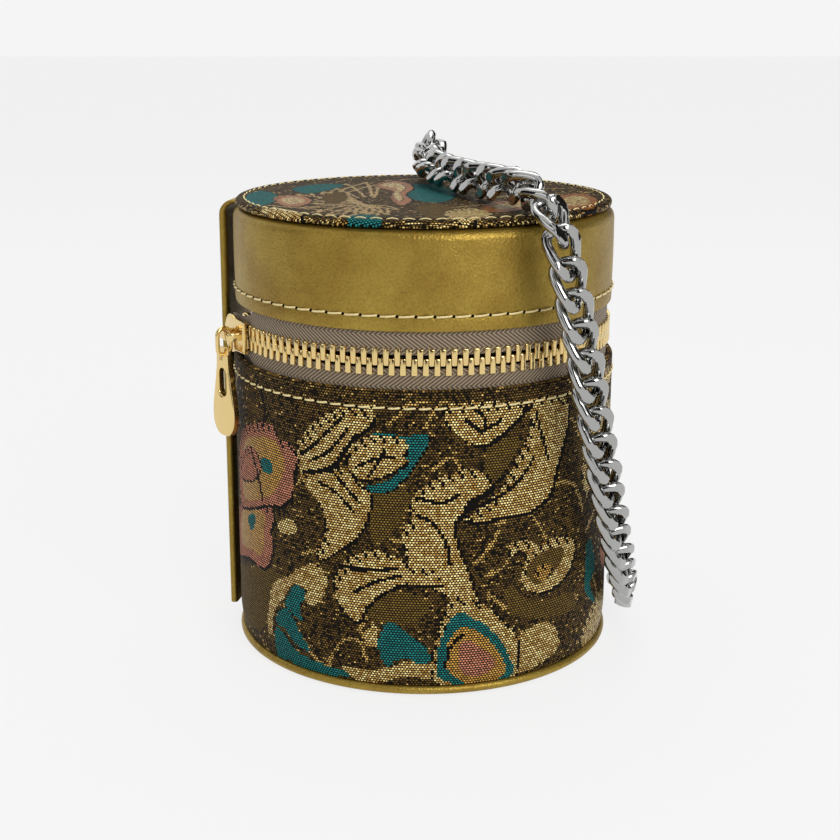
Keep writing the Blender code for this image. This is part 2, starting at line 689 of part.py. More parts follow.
def ring_place(a, b, depth=0.0):
    """A point on the ring: along its bar, up its plane and out of that plane."""
    tilt = math.radians(RING_TILT)
    out = outward(RING_BEARING)
    up = math.cos(tilt) * Vector((0, 0, 1)) + math.sin(tilt) * out
    back = math.cos(tilt) * out - math.sin(tilt) * Vector((0, 0, 1))
    bar = RING_BAR_RADIUS * out + Vector((0, 0, RING_BAR_HEIGHT))
    return bar + a * along(RING_BEARING) + b * up + depth * back


def bow_point(turn):
    """Middle of the wire on the ring's bow, at a turn from its +a end."""
    half = 0.5 * (RING_WIDTH - RING_WIRE)
    rise = RING_HEIGHT - RING_WIRE
    foot = BOW_FOOT * half
    return half * math.cos(turn), foot + (rise - foot) * math.sin(turn)


def build_ring(steel, pivot):
    """D-shaped ring: a straight bar in the leather fold and a round bow that holds the chain."""
    sides = 6
    half = 0.5 * (RING_WIDTH - RING_WIRE)
    foot = BOW_FOOT * half
    path = [(-0.5 * half, 0.0), (0.5 * half, 0.0), (half - foot, 0.0), (half, foot)]
    steps = 6
    for i in range(1, steps):
        path.append(bow_point(math.pi * i / steps))
    path += [(-half, foot), (foot - half, 0.0)]

    sections = []
    for i, (a, b) in enumerate(path):
        back = Vector(path[i - 1])
        ahead = Vector(path[(i + 1) % len(path)])
        here = Vector((a, b))
        heading = ((here - back).normalized() + (ahead - here).normalized()).normalized()
        across = Vector((-heading.y, heading.x))
        sections.append([ring_place(a + 0.5 * RING_WIRE * math.cos(math.tau * j / sides) * across.x,
                                    b + 0.5 * RING_WIRE * math.cos(math.tau * j / sides) * across.y,
                                    0.5 * RING_WIRE * math.sin(math.tau * j / sides))
                         for j in range(sides)])
    bm = bmesh.new()
    add_tube(bm, path, sections)
    add_node("chain_ring", bm, steel, pivot)


# Route of the chain's middle line between its end links: place in mm, then the way its flat side faces.
# The two hanging runs stand off the wall far enough for the slider's pull to pass behind them.
# It was laid out on a body of this radius with the top of its lid at this height, and follows both.
ROUTE_BODY_RADIUS = 48.0
ROUTE_LID_TOP = 112.9
CHAIN_ROUTE = [
    ((2.9, 52.2, 111.2), (0.96, 0.27, 0.01)),
    ((2.7, 47.2, 119.4), (0.73, 0.50, 0.45)),
    ((2.4, 41.3, 120.1), (0.08, 0.10, 0.98)),
    ((1.6, 32.3, 119.0), (-0.49, -0.10, 0.86)),
    ((2.2, 19.3, 118.4), (-0.76, -0.20, 0.58)),
    ((6.4, 4.0, 118.0), (-0.88, -0.36, 0.20)),
    ((12.0, -11.0, 118.0), (-0.88, -0.42, 0.00)),
    ((17.5, -24.0, 118.3), (-0.86, -0.42, -0.20)),
    ((22.5, -34.5, 118.2), (-0.76, -0.20, -0.55)),
    ((27.2, -43.4, 114.6), (-0.60, 0.35, -0.60)),
    ((30.0, -46.9, 107.2), (-0.50, 0.85, -0.10)),
    ((32.5, -46.9, 96.6), (-0.44, 0.90, 0.00)),
    ((35.9, -45.4, 81.8), (-0.44, 0.90, 0.00)),
    ((38.9, -42.8, 67.1), (-0.46, 0.89, 0.00)),
    ((42.2, -38.9, 52.2), (-0.52, 0.85, 0.00)),
    ((45.8, -32.4, 37.0), (-0.62, 0.78, 0.00)),
    ((49.7, -22.9, 22.0), (-0.78, 0.62, 0.00)),
    ((52.6, -11.0, 12.0), (-0.91, 0.36, 0.12)),
    ((53.4, 3.0, 9.0), (-0.99, -0.01, 0.14)),
    ((51.9, 16.9, 13.5), (-0.95, -0.31, 0.00)),
    ((47.0, 30.5, 24.5), (-0.84, -0.54, 0.00)),
    ((39.9, 41.3, 39.0), (-0.58, -0.80, 0.11)),
    ((31.1, 49.9, 56.0), (-0.10, -0.96, 0.27)),
    ((22.1, 54.9, 73.0), (0.43, -0.81, 0.40)),
    ((14.7, 57.0, 88.0), (0.62, -0.58, 0.52)),
]
UPPER_END_HEADING = Vector((-0.05, -0.40, 0.915)).normalized()
UPPER_END_FACE = Vector((0.98, 0.17, 0.00))
LOWER_END_HEADING = Vector((-0.15, -0.25, 0.95)).normalized()
LOWER_END_FACE = Vector((0.97, 0.26, 0.00))
BOW_SEAT = 66.0


def end_links():
    """The two end links, which hang side by side on the bow of the ring."""
    hold = 0.5 * (CHAIN_LENGTH_OF_LINK - CHAIN_FLAT * CHAIN_WIRE - RING_WIRE) - FIT_GAP
    upper_seat = ring_place(*bow_point(math.radians(BOW_SEAT)))
    lower_seat = ring_place(*bow_point(math.radians(180 - BOW_SEAT)))
    upper = (upper_seat + hold * UPPER_END_HEADING, UPPER_END_HEADING, square_to(UPPER_END_FACE, UPPER_END_HEADING))
    lower = (lower_seat - hold * LOWER_END_HEADING, LOWER_END_HEADING, square_to(LOWER_END_FACE, LOWER_END_HEADING))
    return upper, lower


def square_to(face, heading):
    return (face - face.dot(heading) * heading).normalized()


def smooth_route(points):
    """Sample a smooth curve through the route's points, several places to a millimetre."""
    samples = []
    for i in range(len(points) - 1):
        around = [points[max(i - 1, 0)], points[i], points[i + 1], points[min(i + 2, len(points) - 1)]]
        p0, p1, p2, p3 = (place for place, _ in around)
        f1 = around[1][1]
        f2 = around[2][1]
        for k in range(ROUTE_SAMPLES):
            t = k / ROUTE_SAMPLES
            weights = (-0.5 * t ** 3 + t ** 2 - 0.5 * t, 1.5 * t ** 3 - 2.5 * t ** 2 + 1,
                       -1.5 * t ** 3 + 2 * t ** 2 + 0.5 * t, 0.5 * t ** 3 - 0.5 * t ** 2)
            samples.append((weights[0] * p0 + weights[1] * p1 + weights[2] * p2 + weights[3] * p3,
                            f1.lerp(f2, t)))
    samples.append(points[-1])
    return samples


def chain_places():
    """Middle, direction and facing of each link, one pitch apart from end link to end link."""
    upper, lower = end_links()
    spread = BODY_RADIUS / ROUTE_BODY_RADIUS
    rise = DISC_TOP / ROUTE_LID_TOP
    middle = [(Vector((x * spread, y * spread, z * rise)), Vector(face)) for (x, y, z), face in CHAIN_ROUTE]
    samples = smooth_route([(upper[0], upper[2])] + middle + [(lower[0], lower[2])])
    lengths = [0.0]
    for (a, _), (b, _) in zip(samples, samples[1:]):
        lengths.append(lengths[-1] + (b - a).length)
    steps = int(round(lengths[-1] / CHAIN_PITCH))
    steps += 1 - steps % 2
    pitch = lengths[-1] / steps
    places = [upper]
    for number in range(1, steps):
        wanted = number * pitch
        index = max(i for i, length in enumerate(lengths) if length <= wanted)
        index = min(index, len(samples) - 2)
        ahead = min(index + HEADING_SAMPLES, len(samples) - 1)
        behind = max(index - HEADING_SAMPLES, 0)
        share = (wanted - lengths[index]) / max(lengths[index + 1] - lengths[index], 1e-9)
        heading = (samples[ahead][0] - samples[behind][0]).normalized()
        places.append((samples[index][0].lerp(samples[index + 1][0], share), heading,
                       square_to(samples[index][1], heading)))
    places.append(lower)
    return places


def link_mesh(middle, heading, face):
    """One curb link: an oval of wire, twisted so that linked ones lie flat."""
    across = face.cross(heading)
    centres = []
    for i in range(CHAIN_STEPS):
        turn = math.tau * (i + 0.5) / CHAIN_STEPS
        round_x = math.copysign(abs(math.cos(turn)) ** CHAIN_SQUARENESS, math.cos(turn))
        round_y = math.copysign(abs(math.sin(turn)) ** CHAIN_SQUARENESS, math.sin(turn))
        centres.append(Vector((0.5 * CHAIN_LENGTH_OF_LINK * round_x, 0.5 * CHAIN_WIDTH_OF_LINK * round_y,
                               CHAIN_TWIST * math.sin(2 * turn))))
    sections = []
    for i, here in enumerate(centres):
        tangent = (centres[(i + 1) % CHAIN_STEPS] - centres[i - 1]).normalized()
        side = tangent.cross(Vector((0, 0, 1))).normalized()
        up = side.cross(tangent)
        section = []
        for j in range(CHAIN_SIDES):
            turn = math.tau * (j + 0.5) / CHAIN_SIDES
            local = here + 0.5 * CHAIN_WIRE * (math.cos(turn) * side + math.sin(turn) * up) * CHAIN_FLAT
            section.append(middle + local.x * heading + local.y * across + local.z * face)
        sections.append(section)
    bm = bmesh.new()
    add_tube(bm, centres, sections)
    return bm


def seated(first, second):
    """Turn the second link of a pair about its own length until it bears on the first."""
    middle, heading, face = second
    across = face.cross(heading)
    still = BVHTree.FromBMesh(link_mesh(*first))
    for step in range(CHAIN_SEAT_LIMIT):
        turn = math.radians(step * CHAIN_SEAT_STEP)
        turned_face = math.cos(turn) * face + math.sin(turn) * across
        if still.overlap(BVHTree.FromBMesh(link_mesh(middle, heading, turned_face))):
            turn += math.radians(CHAIN_SEAT_DEPTH)
            break
    return middle, heading, math.cos(turn) * face + math.sin(turn) * across


def build_chain(steel, pivot):
    """An end link at each end, and between them links two to a node: the second bears on the first."""
    places = chain_places()
    add_node("chain_end_upper", link_mesh(*places[0]), steel, pivot)
    add_node("chain_end_lower", link_mesh(*places[-1]), steel, pivot)
    between = places[1:-1]
    for pair in range(len(between) // 2):
        one = between[2 * pair]
        other = seated(one, between[2 * pair + 1])
        node = add_node(f"chain_links_{pair + 1:02d}", link_mesh(*one), steel, pivot)
        join(node, link_mesh(*other), f"chain_second_link_{pair + 1:02d}")


def build_bag():
    brocade = make_material("brocade", "5B4A2E", 0.55)
    leather = make_material("gold_leather", "8C7A3A", 0.42, 0.35)
    board = make_material("grey_board", "8A8478", 0.9)
    lining = make_material("lining_cloth", "6E6350", 0.8)
    tape = make_material("zip_tape", "8A7A66", 0.85)
    brass = make_material("gold_brass", "E0BE70", 0.2, 1.0)
    steel = make_material("nickel_steel", "C9C9C6", 0.18, 1.0)

    hinge_place = (BODY_RADIUS + FIT_GAP + 0.5 * STRIP_THICKNESS) * outward(STRIP_BEARING)
    lid_pivot = add_pivot("lid_pivot", hinge_place + Vector((0, 0, ZIP_HEIGHT)))
    slider_pivot = add_pivot("slider_pivot", Vector((0, 0, ZIP_HEIGHT)))
    centre, across, out = pull_place()
    link_pivot = add_pivot("link_pivot", centre, slider_pivot)
    tab_pivot = add_pivot("tab_pivot", centre - Vector((0, 0, TAB_BAR_DROP)), link_pivot)

    build_base(leather, board, lining)
    build_body(brocade, board, lining)
    build_lid(leather, brocade, board, lining, lid_pivot)
    build_strip(leather)
    build_tape("zip_tape_lower", -1, TAPE_LOW_EDGE, BODY_TOP + FIT_GAP, tape, None)
    build_tape("zip_tape_upper", 1, TAPE_HIGH_EDGE, BAND_BOTTOM - FIT_GAP, tape, lid_pivot)
    build_teeth("zip_teeth_lower", -1, brass, None)
    build_teeth("zip_teeth_upper", 1, brass, lid_pivot)
    build_end_stop(brass)
    build_slider(brass, slider_pivot)
    build_pull_link(brass, link_pivot)
    build_pull_tab(brass, tab_pivot)
    build_ring_tab(leather, lid_pivot)
    build_ring(steel, lid_pivot)
    build_chain(steel, lid_pivot)


for existing in list(bpy.data.objects):
    bpy.data.objects.remove(existing, do_unlink=True)
build_bag()
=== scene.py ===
"""Small round bag: brocade and gold leather over board, a metal zip round the lid and a curb chain."""
import math

import bpy
import numpy as np
from mathutils import Matrix, Vector
from mathutils.bvhtree import BVHTree


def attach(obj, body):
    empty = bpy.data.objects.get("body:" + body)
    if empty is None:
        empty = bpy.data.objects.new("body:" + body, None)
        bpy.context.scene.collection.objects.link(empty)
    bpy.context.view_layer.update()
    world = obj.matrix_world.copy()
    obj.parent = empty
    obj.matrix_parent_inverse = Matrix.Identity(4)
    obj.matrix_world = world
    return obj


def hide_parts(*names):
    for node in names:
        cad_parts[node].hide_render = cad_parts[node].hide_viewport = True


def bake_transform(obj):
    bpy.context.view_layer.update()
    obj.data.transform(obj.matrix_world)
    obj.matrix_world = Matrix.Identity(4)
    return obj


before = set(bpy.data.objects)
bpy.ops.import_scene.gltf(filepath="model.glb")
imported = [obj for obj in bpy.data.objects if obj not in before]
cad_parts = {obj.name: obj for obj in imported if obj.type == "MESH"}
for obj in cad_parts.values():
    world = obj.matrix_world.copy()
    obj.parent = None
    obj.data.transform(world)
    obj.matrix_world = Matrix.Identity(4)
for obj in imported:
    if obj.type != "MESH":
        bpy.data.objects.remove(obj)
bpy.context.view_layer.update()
MM = 0.001
STRIP_BEARING = -101.0


# Camera, light and ground.
# The camera stands where the photograph was taken from, a little above the lid and straight in
# front. The bag faces -Y. Bearings are degrees round the bag from the front towards the right.
def deselect():
    if bpy.context.mode != "OBJECT":
        bpy.ops.object.mode_set(mode="OBJECT")
    bpy.ops.object.select_all(action="DESELECT")


def linear(code):
    """Linear colour of an sRGB hex code."""
    parts = [int(code[i:i + 2], 16) / 255 for i in (0, 2, 4)]
    return (*[c / 12.92 if c <= 0.04045 else ((c + 0.055) / 1.055) ** 2.4 for c in parts], 1.0)


def add(tree, kind, inputs, **settings):
    """Add a shader node, with its settings and with its inputs set or linked."""
    made = tree.nodes.new(kind)
    for name, value in settings.items():
        setattr(made, name, value)
    for name, value in inputs.items():
        if isinstance(value, bpy.types.NodeSocket):
            tree.links.new(value, made.inputs[name])
        else:
            made.inputs[name].default_value = value
    return made


def calc(tree, operation, *values):
    """Add a maths node."""
    return add(tree, "ShaderNodeMath", dict(enumerate(values)), operation=operation)


def ramp(tree, value, low, high, to_low, to_high):
    """Add a node that maps a value from one range to another."""
    return add(tree, "ShaderNodeMapRange", {0: value, 1: low, 2: high, 3: to_low, 4: to_high})


def colour_mix(tree, share, low, high):
    """Add a node that mixes two colours; its colour is output 2."""
    return add(tree, "ShaderNodeMix", {0: share, 6: low, 7: high}, data_type="RGBA")


def new_material(name):
    material = bpy.data.materials.new(name)
    material.use_nodes = True
    return material, material.node_tree, material.node_tree.nodes["Principled BSDF"]


deselect()
bpy.ops.object.camera_add(location=(-0.00422, -0.3768, 0.1584), rotation=(math.radians(74.94), 0, 0))
camera = bpy.context.object
camera.data.lens = 64.67
camera.data.sensor_width = 36.0
camera.data.shift_x = 0.01607
camera.data.shift_y = -0.01048
camera.data.clip_start = 0.01
bpy.context.scene.camera = camera
bpy.context.scene.view_settings.view_transform = "Standard"

# Soft boxes: a large key from the right front, a weaker fill from the left and one overhead
for place, size, power, target in (
        ((0.42, -0.75, 0.62), 0.55, 5.4, (0, 0, 0.06)),
        ((-0.75, -0.45, 0.40), 0.50, 1.0, (0, 0, 0.06)),
        ((-0.05, 0.30, 0.85), 0.60, 2.2, (0, 0, 0.08))):
    deselect()
    bpy.ops.object.light_add(type="AREA", location=place)
    lamp = bpy.context.object
    lamp.data.shape = "SQUARE"
    lamp.data.size = size
    lamp.data.energy = power
    lamp.rotation_euler = (Vector(target) - Vector(place)).to_track_quat("-Z", "Y").to_euler()

world = bpy.data.worlds.new("studio")
bpy.context.scene.world = world
world.use_nodes = True
sky = world.node_tree
sky.nodes.clear()
seen = add(sky, "ShaderNodeLightPath", {})
gloss = calc(sky, "MAXIMUM", seen.outputs["Is Glossy Ray"], seen.outputs["Is Transmission Ray"])
camera_or_gloss = calc(sky, "MAXIMUM", seen.outputs["Is Camera Ray"], gloss.outputs[0])
shown = add(sky, "ShaderNodeBackground", {"Color": linear("F5F5F5"), "Strength": 1.0})
# Light from the studio's walls: paler above than at the sides
way = add(sky, "ShaderNodeTexCoord", {})
split = add(sky, "ShaderNodeSeparateXYZ", {0: way.outputs["Generated"]})
wall = ramp(sky, split.outputs["Z"], -0.2, 0.7, 0.34, 0.72)
lit = add(sky, "ShaderNodeBackground", {"Color": linear("FFFFFF"), "Strength": wall.outputs[0]})
both = add(sky, "ShaderNodeMixShader", {0: camera_or_gloss.outputs[0], 1: lit.outputs[0],
                                        2: shown.outputs[0]})
add(sky, "ShaderNodeOutputWorld", {"Surface": both.outputs[0]})

deselect()
bpy.ops.mesh.primitive_plane_add(size=6.0, location=(0, 1.6, -0.0005))
ground = bpy.context.object
ground.name = "studio_floor"
FLOOR_GLOW = 0.88
paper, tree, shader = new_material("white_paper")
shader.inputs["Base Color"].default_value = linear("EDEDED")
shader.inputs["Roughness"].default_value = 0.9
shader.inputs["Specular IOR Level"].default_value = 0.2
path = add(tree, "ShaderNodeLightPath", {})
glow = add(tree, "ShaderNodeEmission", {"Color": linear("F5F5F5"), "Strength": 1.0})
gloss = calc(tree, "MAXIMUM", path.outputs["Is Glossy Ray"], path.outputs["Is Transmission Ray"])
from_eye = calc(tree, "MAXIMUM", path.outputs["Is Camera Ray"], gloss.outputs[0])
share = calc(tree, "MULTIPLY", from_eye.outputs[0], FLOOR_GLOW)
mixed = add(tree, "ShaderNodeMixShader", {0: share.outputs[0], 1: shader.outputs[0], 2: glow.outputs[0]})
tree.links.new(mixed.outputs[0], tree.nodes["Material Output"].inputs["Surface"])
ground.data.materials.append(paper)

# Black cards, as round a product table: only polished surfaces see them, as their dark sides
soot, tree, shader = new_material("black_card")
shader.inputs["Base Color"].default_value = linear("1C1B19")
shader.inputs["Roughness"].default_value = 1.0
for place, width, tall in (((0.15, -1.5, 0.55), 1.3, 0.9), ((-1.0, -0.35, 0.45), 1.5, 0.9),
                           ((1.0, 0.15, 0.50), 1.2, 0.9),
                           ((-0.35, -0.9, 1.15), 1.1, 0.7), ((0.45, 0.9, 0.6), 0.8, 0.8),
                           ((0.5, 0.1, 1.3), 0.5, 0.7)):
    deselect()
    bpy.ops.mesh.primitive_plane_add(size=1.0, location=place)
    card = bpy.context.object
    card.name = "black_card"
    card.scale = (width, tall, 1.0)
    card.rotation_euler = (Vector((0, 0, 0.08)) - Vector(place)).to_track_quat("-Z", "Y").to_euler()
    card.data.materials.append(soot)
    card.visible_camera = False
    card.visible_diffuse = False
    card.visible_shadow = False


# Base: a leather disc under the bag and a rounded leather binding sewn round its edge.
# The leather is thin goatskin with a gold-olive foil finish: a metal sheen broken by a fine
# crinkle of grain, browner in random flecks, duller at random, with painted shade in the grain's creases.
def outward(bearing):
    angle = math.radians(bearing)
    return Vector((math.sin(angle), -math.cos(angle), 0.0))


def along(bearing):
    angle = math.radians(bearing)
    return Vector((math.cos(angle), math.sin(angle), 0.0))


def arc(radius, height, bend, start, end, steps):
    """Points of a rounded corner in a profile, in mm; 0 degrees points outwards and 90 up."""
    turns = [math.radians(start + (end - start) * i / steps) for i in range(steps + 1)]
    return [(radius + bend * math.cos(t), height + bend * math.sin(t)) for t in turns]


def turned(name, profile, steps):
    """Spin a profile of (radius, height) points in mm round the bag's axis."""
    deselect()
    bpy.ops.mesh.primitive_circle_add(vertices=len(profile), radius=0.01)
    piece = bpy.context.object
    piece.name = name
    for vertex, (radius, height) in zip(piece.data.vertices, profile):
        vertex.co = (0.0, -radius * MM, height * MM)
    bpy.ops.object.mode_set(mode="EDIT")
    bpy.ops.mesh.select_all(action="SELECT")
    bpy.ops.mesh.spin(steps=steps, angle=math.tau, center=(0, 0, 0), axis=(0, 0, 1))
    bpy.ops.mesh.select_all(action="SELECT")
    bpy.ops.mesh.remove_doubles(threshold=0.000004)
    bpy.ops.mesh.delete_loose(use_verts=True, use_edges=True, use_faces=False)
    bpy.ops.mesh.select_all(action="SELECT")
    bpy.ops.mesh.normals_make_consistent(inside=False)
    bpy.ops.object.mode_set(mode="OBJECT")
    return piece


def finish(piece, material, slot, body, *nodes, angle=40):
    """Smooth a piece, give it its material and body, and let it stand for its CAD nodes."""
    deselect()
    piece.select_set(True)
    bpy.context.view_layer.objects.active = piece
    bpy.ops.object.transform_apply(location=True, rotation=True, scale=True)
    bpy.ops.object.shade_smooth_by_angle(angle=math.radians(angle))
    piece.data.materials.clear()
    piece.data.materials.append(material)
    if body is not None:
        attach(piece, body)
    if nodes:
        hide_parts(*nodes)
    return piece


gold_leather, tree, shader = new_material("foiled_goatskin")
place = add(tree, "ShaderNodeTexCoord", {}).outputs["Object"]
# Grain: flat pebbles about 0.5 mm across, pulled about by a slower warp
warp = add(tree, "ShaderNodeTexNoise", {"Vector": place, "Scale": 420.0, "Detail": 2.0})
bend = add(tree, "ShaderNodeVectorMath", {0: warp.outputs["Color"], 1: (0.0004, 0.0004, 0.0004)},
           operation="MULTIPLY")
moved = add(tree, "ShaderNodeVectorMath", {0: place, 1: bend.outputs[0]}, operation="ADD")
grain = add(tree, "ShaderNodeTexVoronoi", {"Vector": moved.outputs[0], "Scale": 2000.0},
            feature="SMOOTH_F1")
crinkle = add(tree, "ShaderNodeTexNoise", {"Vector": place, "Scale": 1500.0, "Detail": 3.0,
                                           "Roughness": 0.6})
patches = add(tree, "ShaderNodeTexNoise", {"Vector": place, "Scale": 70.0, "Detail": 4.0,
                                           "Roughness": 0.6})
flecks = add(tree, "ShaderNodeTexNoise", {"Vector": place, "Scale": 2400.0, "Detail": 2.0})
height = add(tree, "ShaderNodeMix", {0: 0.4, 2: grain.outputs["Distance"], 3: crinkle.outputs["Fac"]},
             data_type="FLOAT")
bump = add(tree, "ShaderNodeBump", {"Strength": 0.8, "Distance": 0.0002, "Height": height.outputs[0]})
tone = ramp(tree, patches.outputs["Fac"], 0.35, 0.65, 0.0, 1.0)
foil = colour_mix(tree, tone.outputs[0], linear("92752E"), linear("A88E3E"))
speck = ramp(tree, flecks.outputs["Fac"], 0.58, 0.75, 0.0, 0.35)
worn = colour_mix(tree, speck.outputs[0], foil.outputs[2], linear("63501F"))
# Painted shade: the creases of the grain are painted a darker brown
crease_shade = ramp(tree, grain.outputs["Distance"], 0.3, 0.7, 0.0, 0.22)
foil_with_crease_shade = colour_mix(tree, crease_shade.outputs[0], worn.outputs[2], linear("4E3E16"))
dull = ramp(tree, flecks.outputs["Fac"], 0.3, 0.7, 0.36, 0.52)
tree.links.new(foil_with_crease_shade.outputs[2], shader.inputs["Base Color"])
tree.links.new(dull.outputs[0], shader.inputs["Roughness"])
tree.links.new(bump.outputs[0], shader.inputs["Normal"])
shader.inputs["Metallic"].default_value = 0.8

binding = turned("base_binding_leather", arc(47.2, 1.0, 1.0, -90, 90, 12) + [(46.4, 2.0), (46.4, 0.0)],
                 240)
finish(binding, gold_leather, "gold_leather", "bag", "base_binding")
cover = turned("base_cover_leather", [(0.0, 0.0)] + arc(45.8, 0.3, 0.3, -90, 0,
                                                        3) + arc(45.8, 0.7, 0.3, 0, 90, 3)
               + [(0.0, 1.0)], 160)
finish(cover, gold_leather, "gold_leather", "bag", "base_cover")


# Body: a tube of board, covered outside with brocade whose top edge is turned over and stitched.
# The brocade is a jacquard: every crossing shows one thread, gold, teal or rose over a brown-black
# ground, so each face of its outside is one crossing, 0.75 mm by 0.6 mm, and says which thread shows.
# The flowers, buds and curled leaves of this traditional pattern are closed outlines on the flat
# cloth, whose places are mm round the bag from the front and mm above the floor.
# Enlarged views of the photograph in which the outlines were read: the view's left and top in
# the photograph's pixels, and how many times it is enlarged. The camera's place is in mm.
VIEWS = {"A": (230, 385, 5.056), "B": (415, 385, 5.056), "C": (225, 380, 2.1212), "top": (225, 160, 2.45)}
LENS_PIXELS = 1509.0
VIEW_MIDDLE = (406.5, 411.2)
SEEN_FROM = np.array([-4.22, -376.8, 158.4])
LOOKS_DOWN = math.radians(15.06)
DISC_LEVEL = 113.0
CLOTH_RADIUS = 48.0


def sight(view, x, y):
    """The direction in which the camera sees a point of an enlarged view."""
    left, top, zoom = VIEWS[view]
    ahead = np.array([0, math.cos(LOOKS_DOWN), -math.sin(LOOKS_DOWN)])
    up = np.array([0, math.sin(LOOKS_DOWN), math.cos(LOOKS_DOWN)])
    right = np.array([1.0, 0, 0])
    return (ahead + right * (left + x / zoom - VIEW_MIDDLE[0]) / LENS_PIXELS
            - up * (top + y / zoom - VIEW_MIDDLE[1]) / LENS_PIXELS)


def to_half(a, b):
    return round(a * 2) / 2, round(b * 2) / 2


def on_cloth(view, x, y):
    """Where a point of a view lies on the sleeve, laid flat, to the nearest half mm."""
    ray = sight(view, x, y)
    a = ray[0] ** 2 + ray[1] ** 2
    b = 2 * (SEEN_FROM[0] * ray[0] + SEEN_FROM[1] * ray[1])
    c = SEEN_FROM[0] ** 2 + SEEN_FROM[1] ** 2 - CLOTH_RADIUS ** 2
    under = b * b - 4 * a * c
    away = (-b - math.sqrt(under)) / (2 * a) if under > 0 else -b / (2 * a)
    place = SEEN_FROM + away * ray
    return to_half(CLOTH_RADIUS * math.atan2(place[0], -place[1]), float(place[2]))


def on_disc(view, x, y):
    """Where a point of a view lies on the lid's disc, to the nearest half mm."""
    ray = sight(view, x, y)
    place = SEEN_FROM + (DISC_LEVEL - SEEN_FROM[2]) / ray[2] * ray
    return to_half(float(place[0]), float(place[1]))


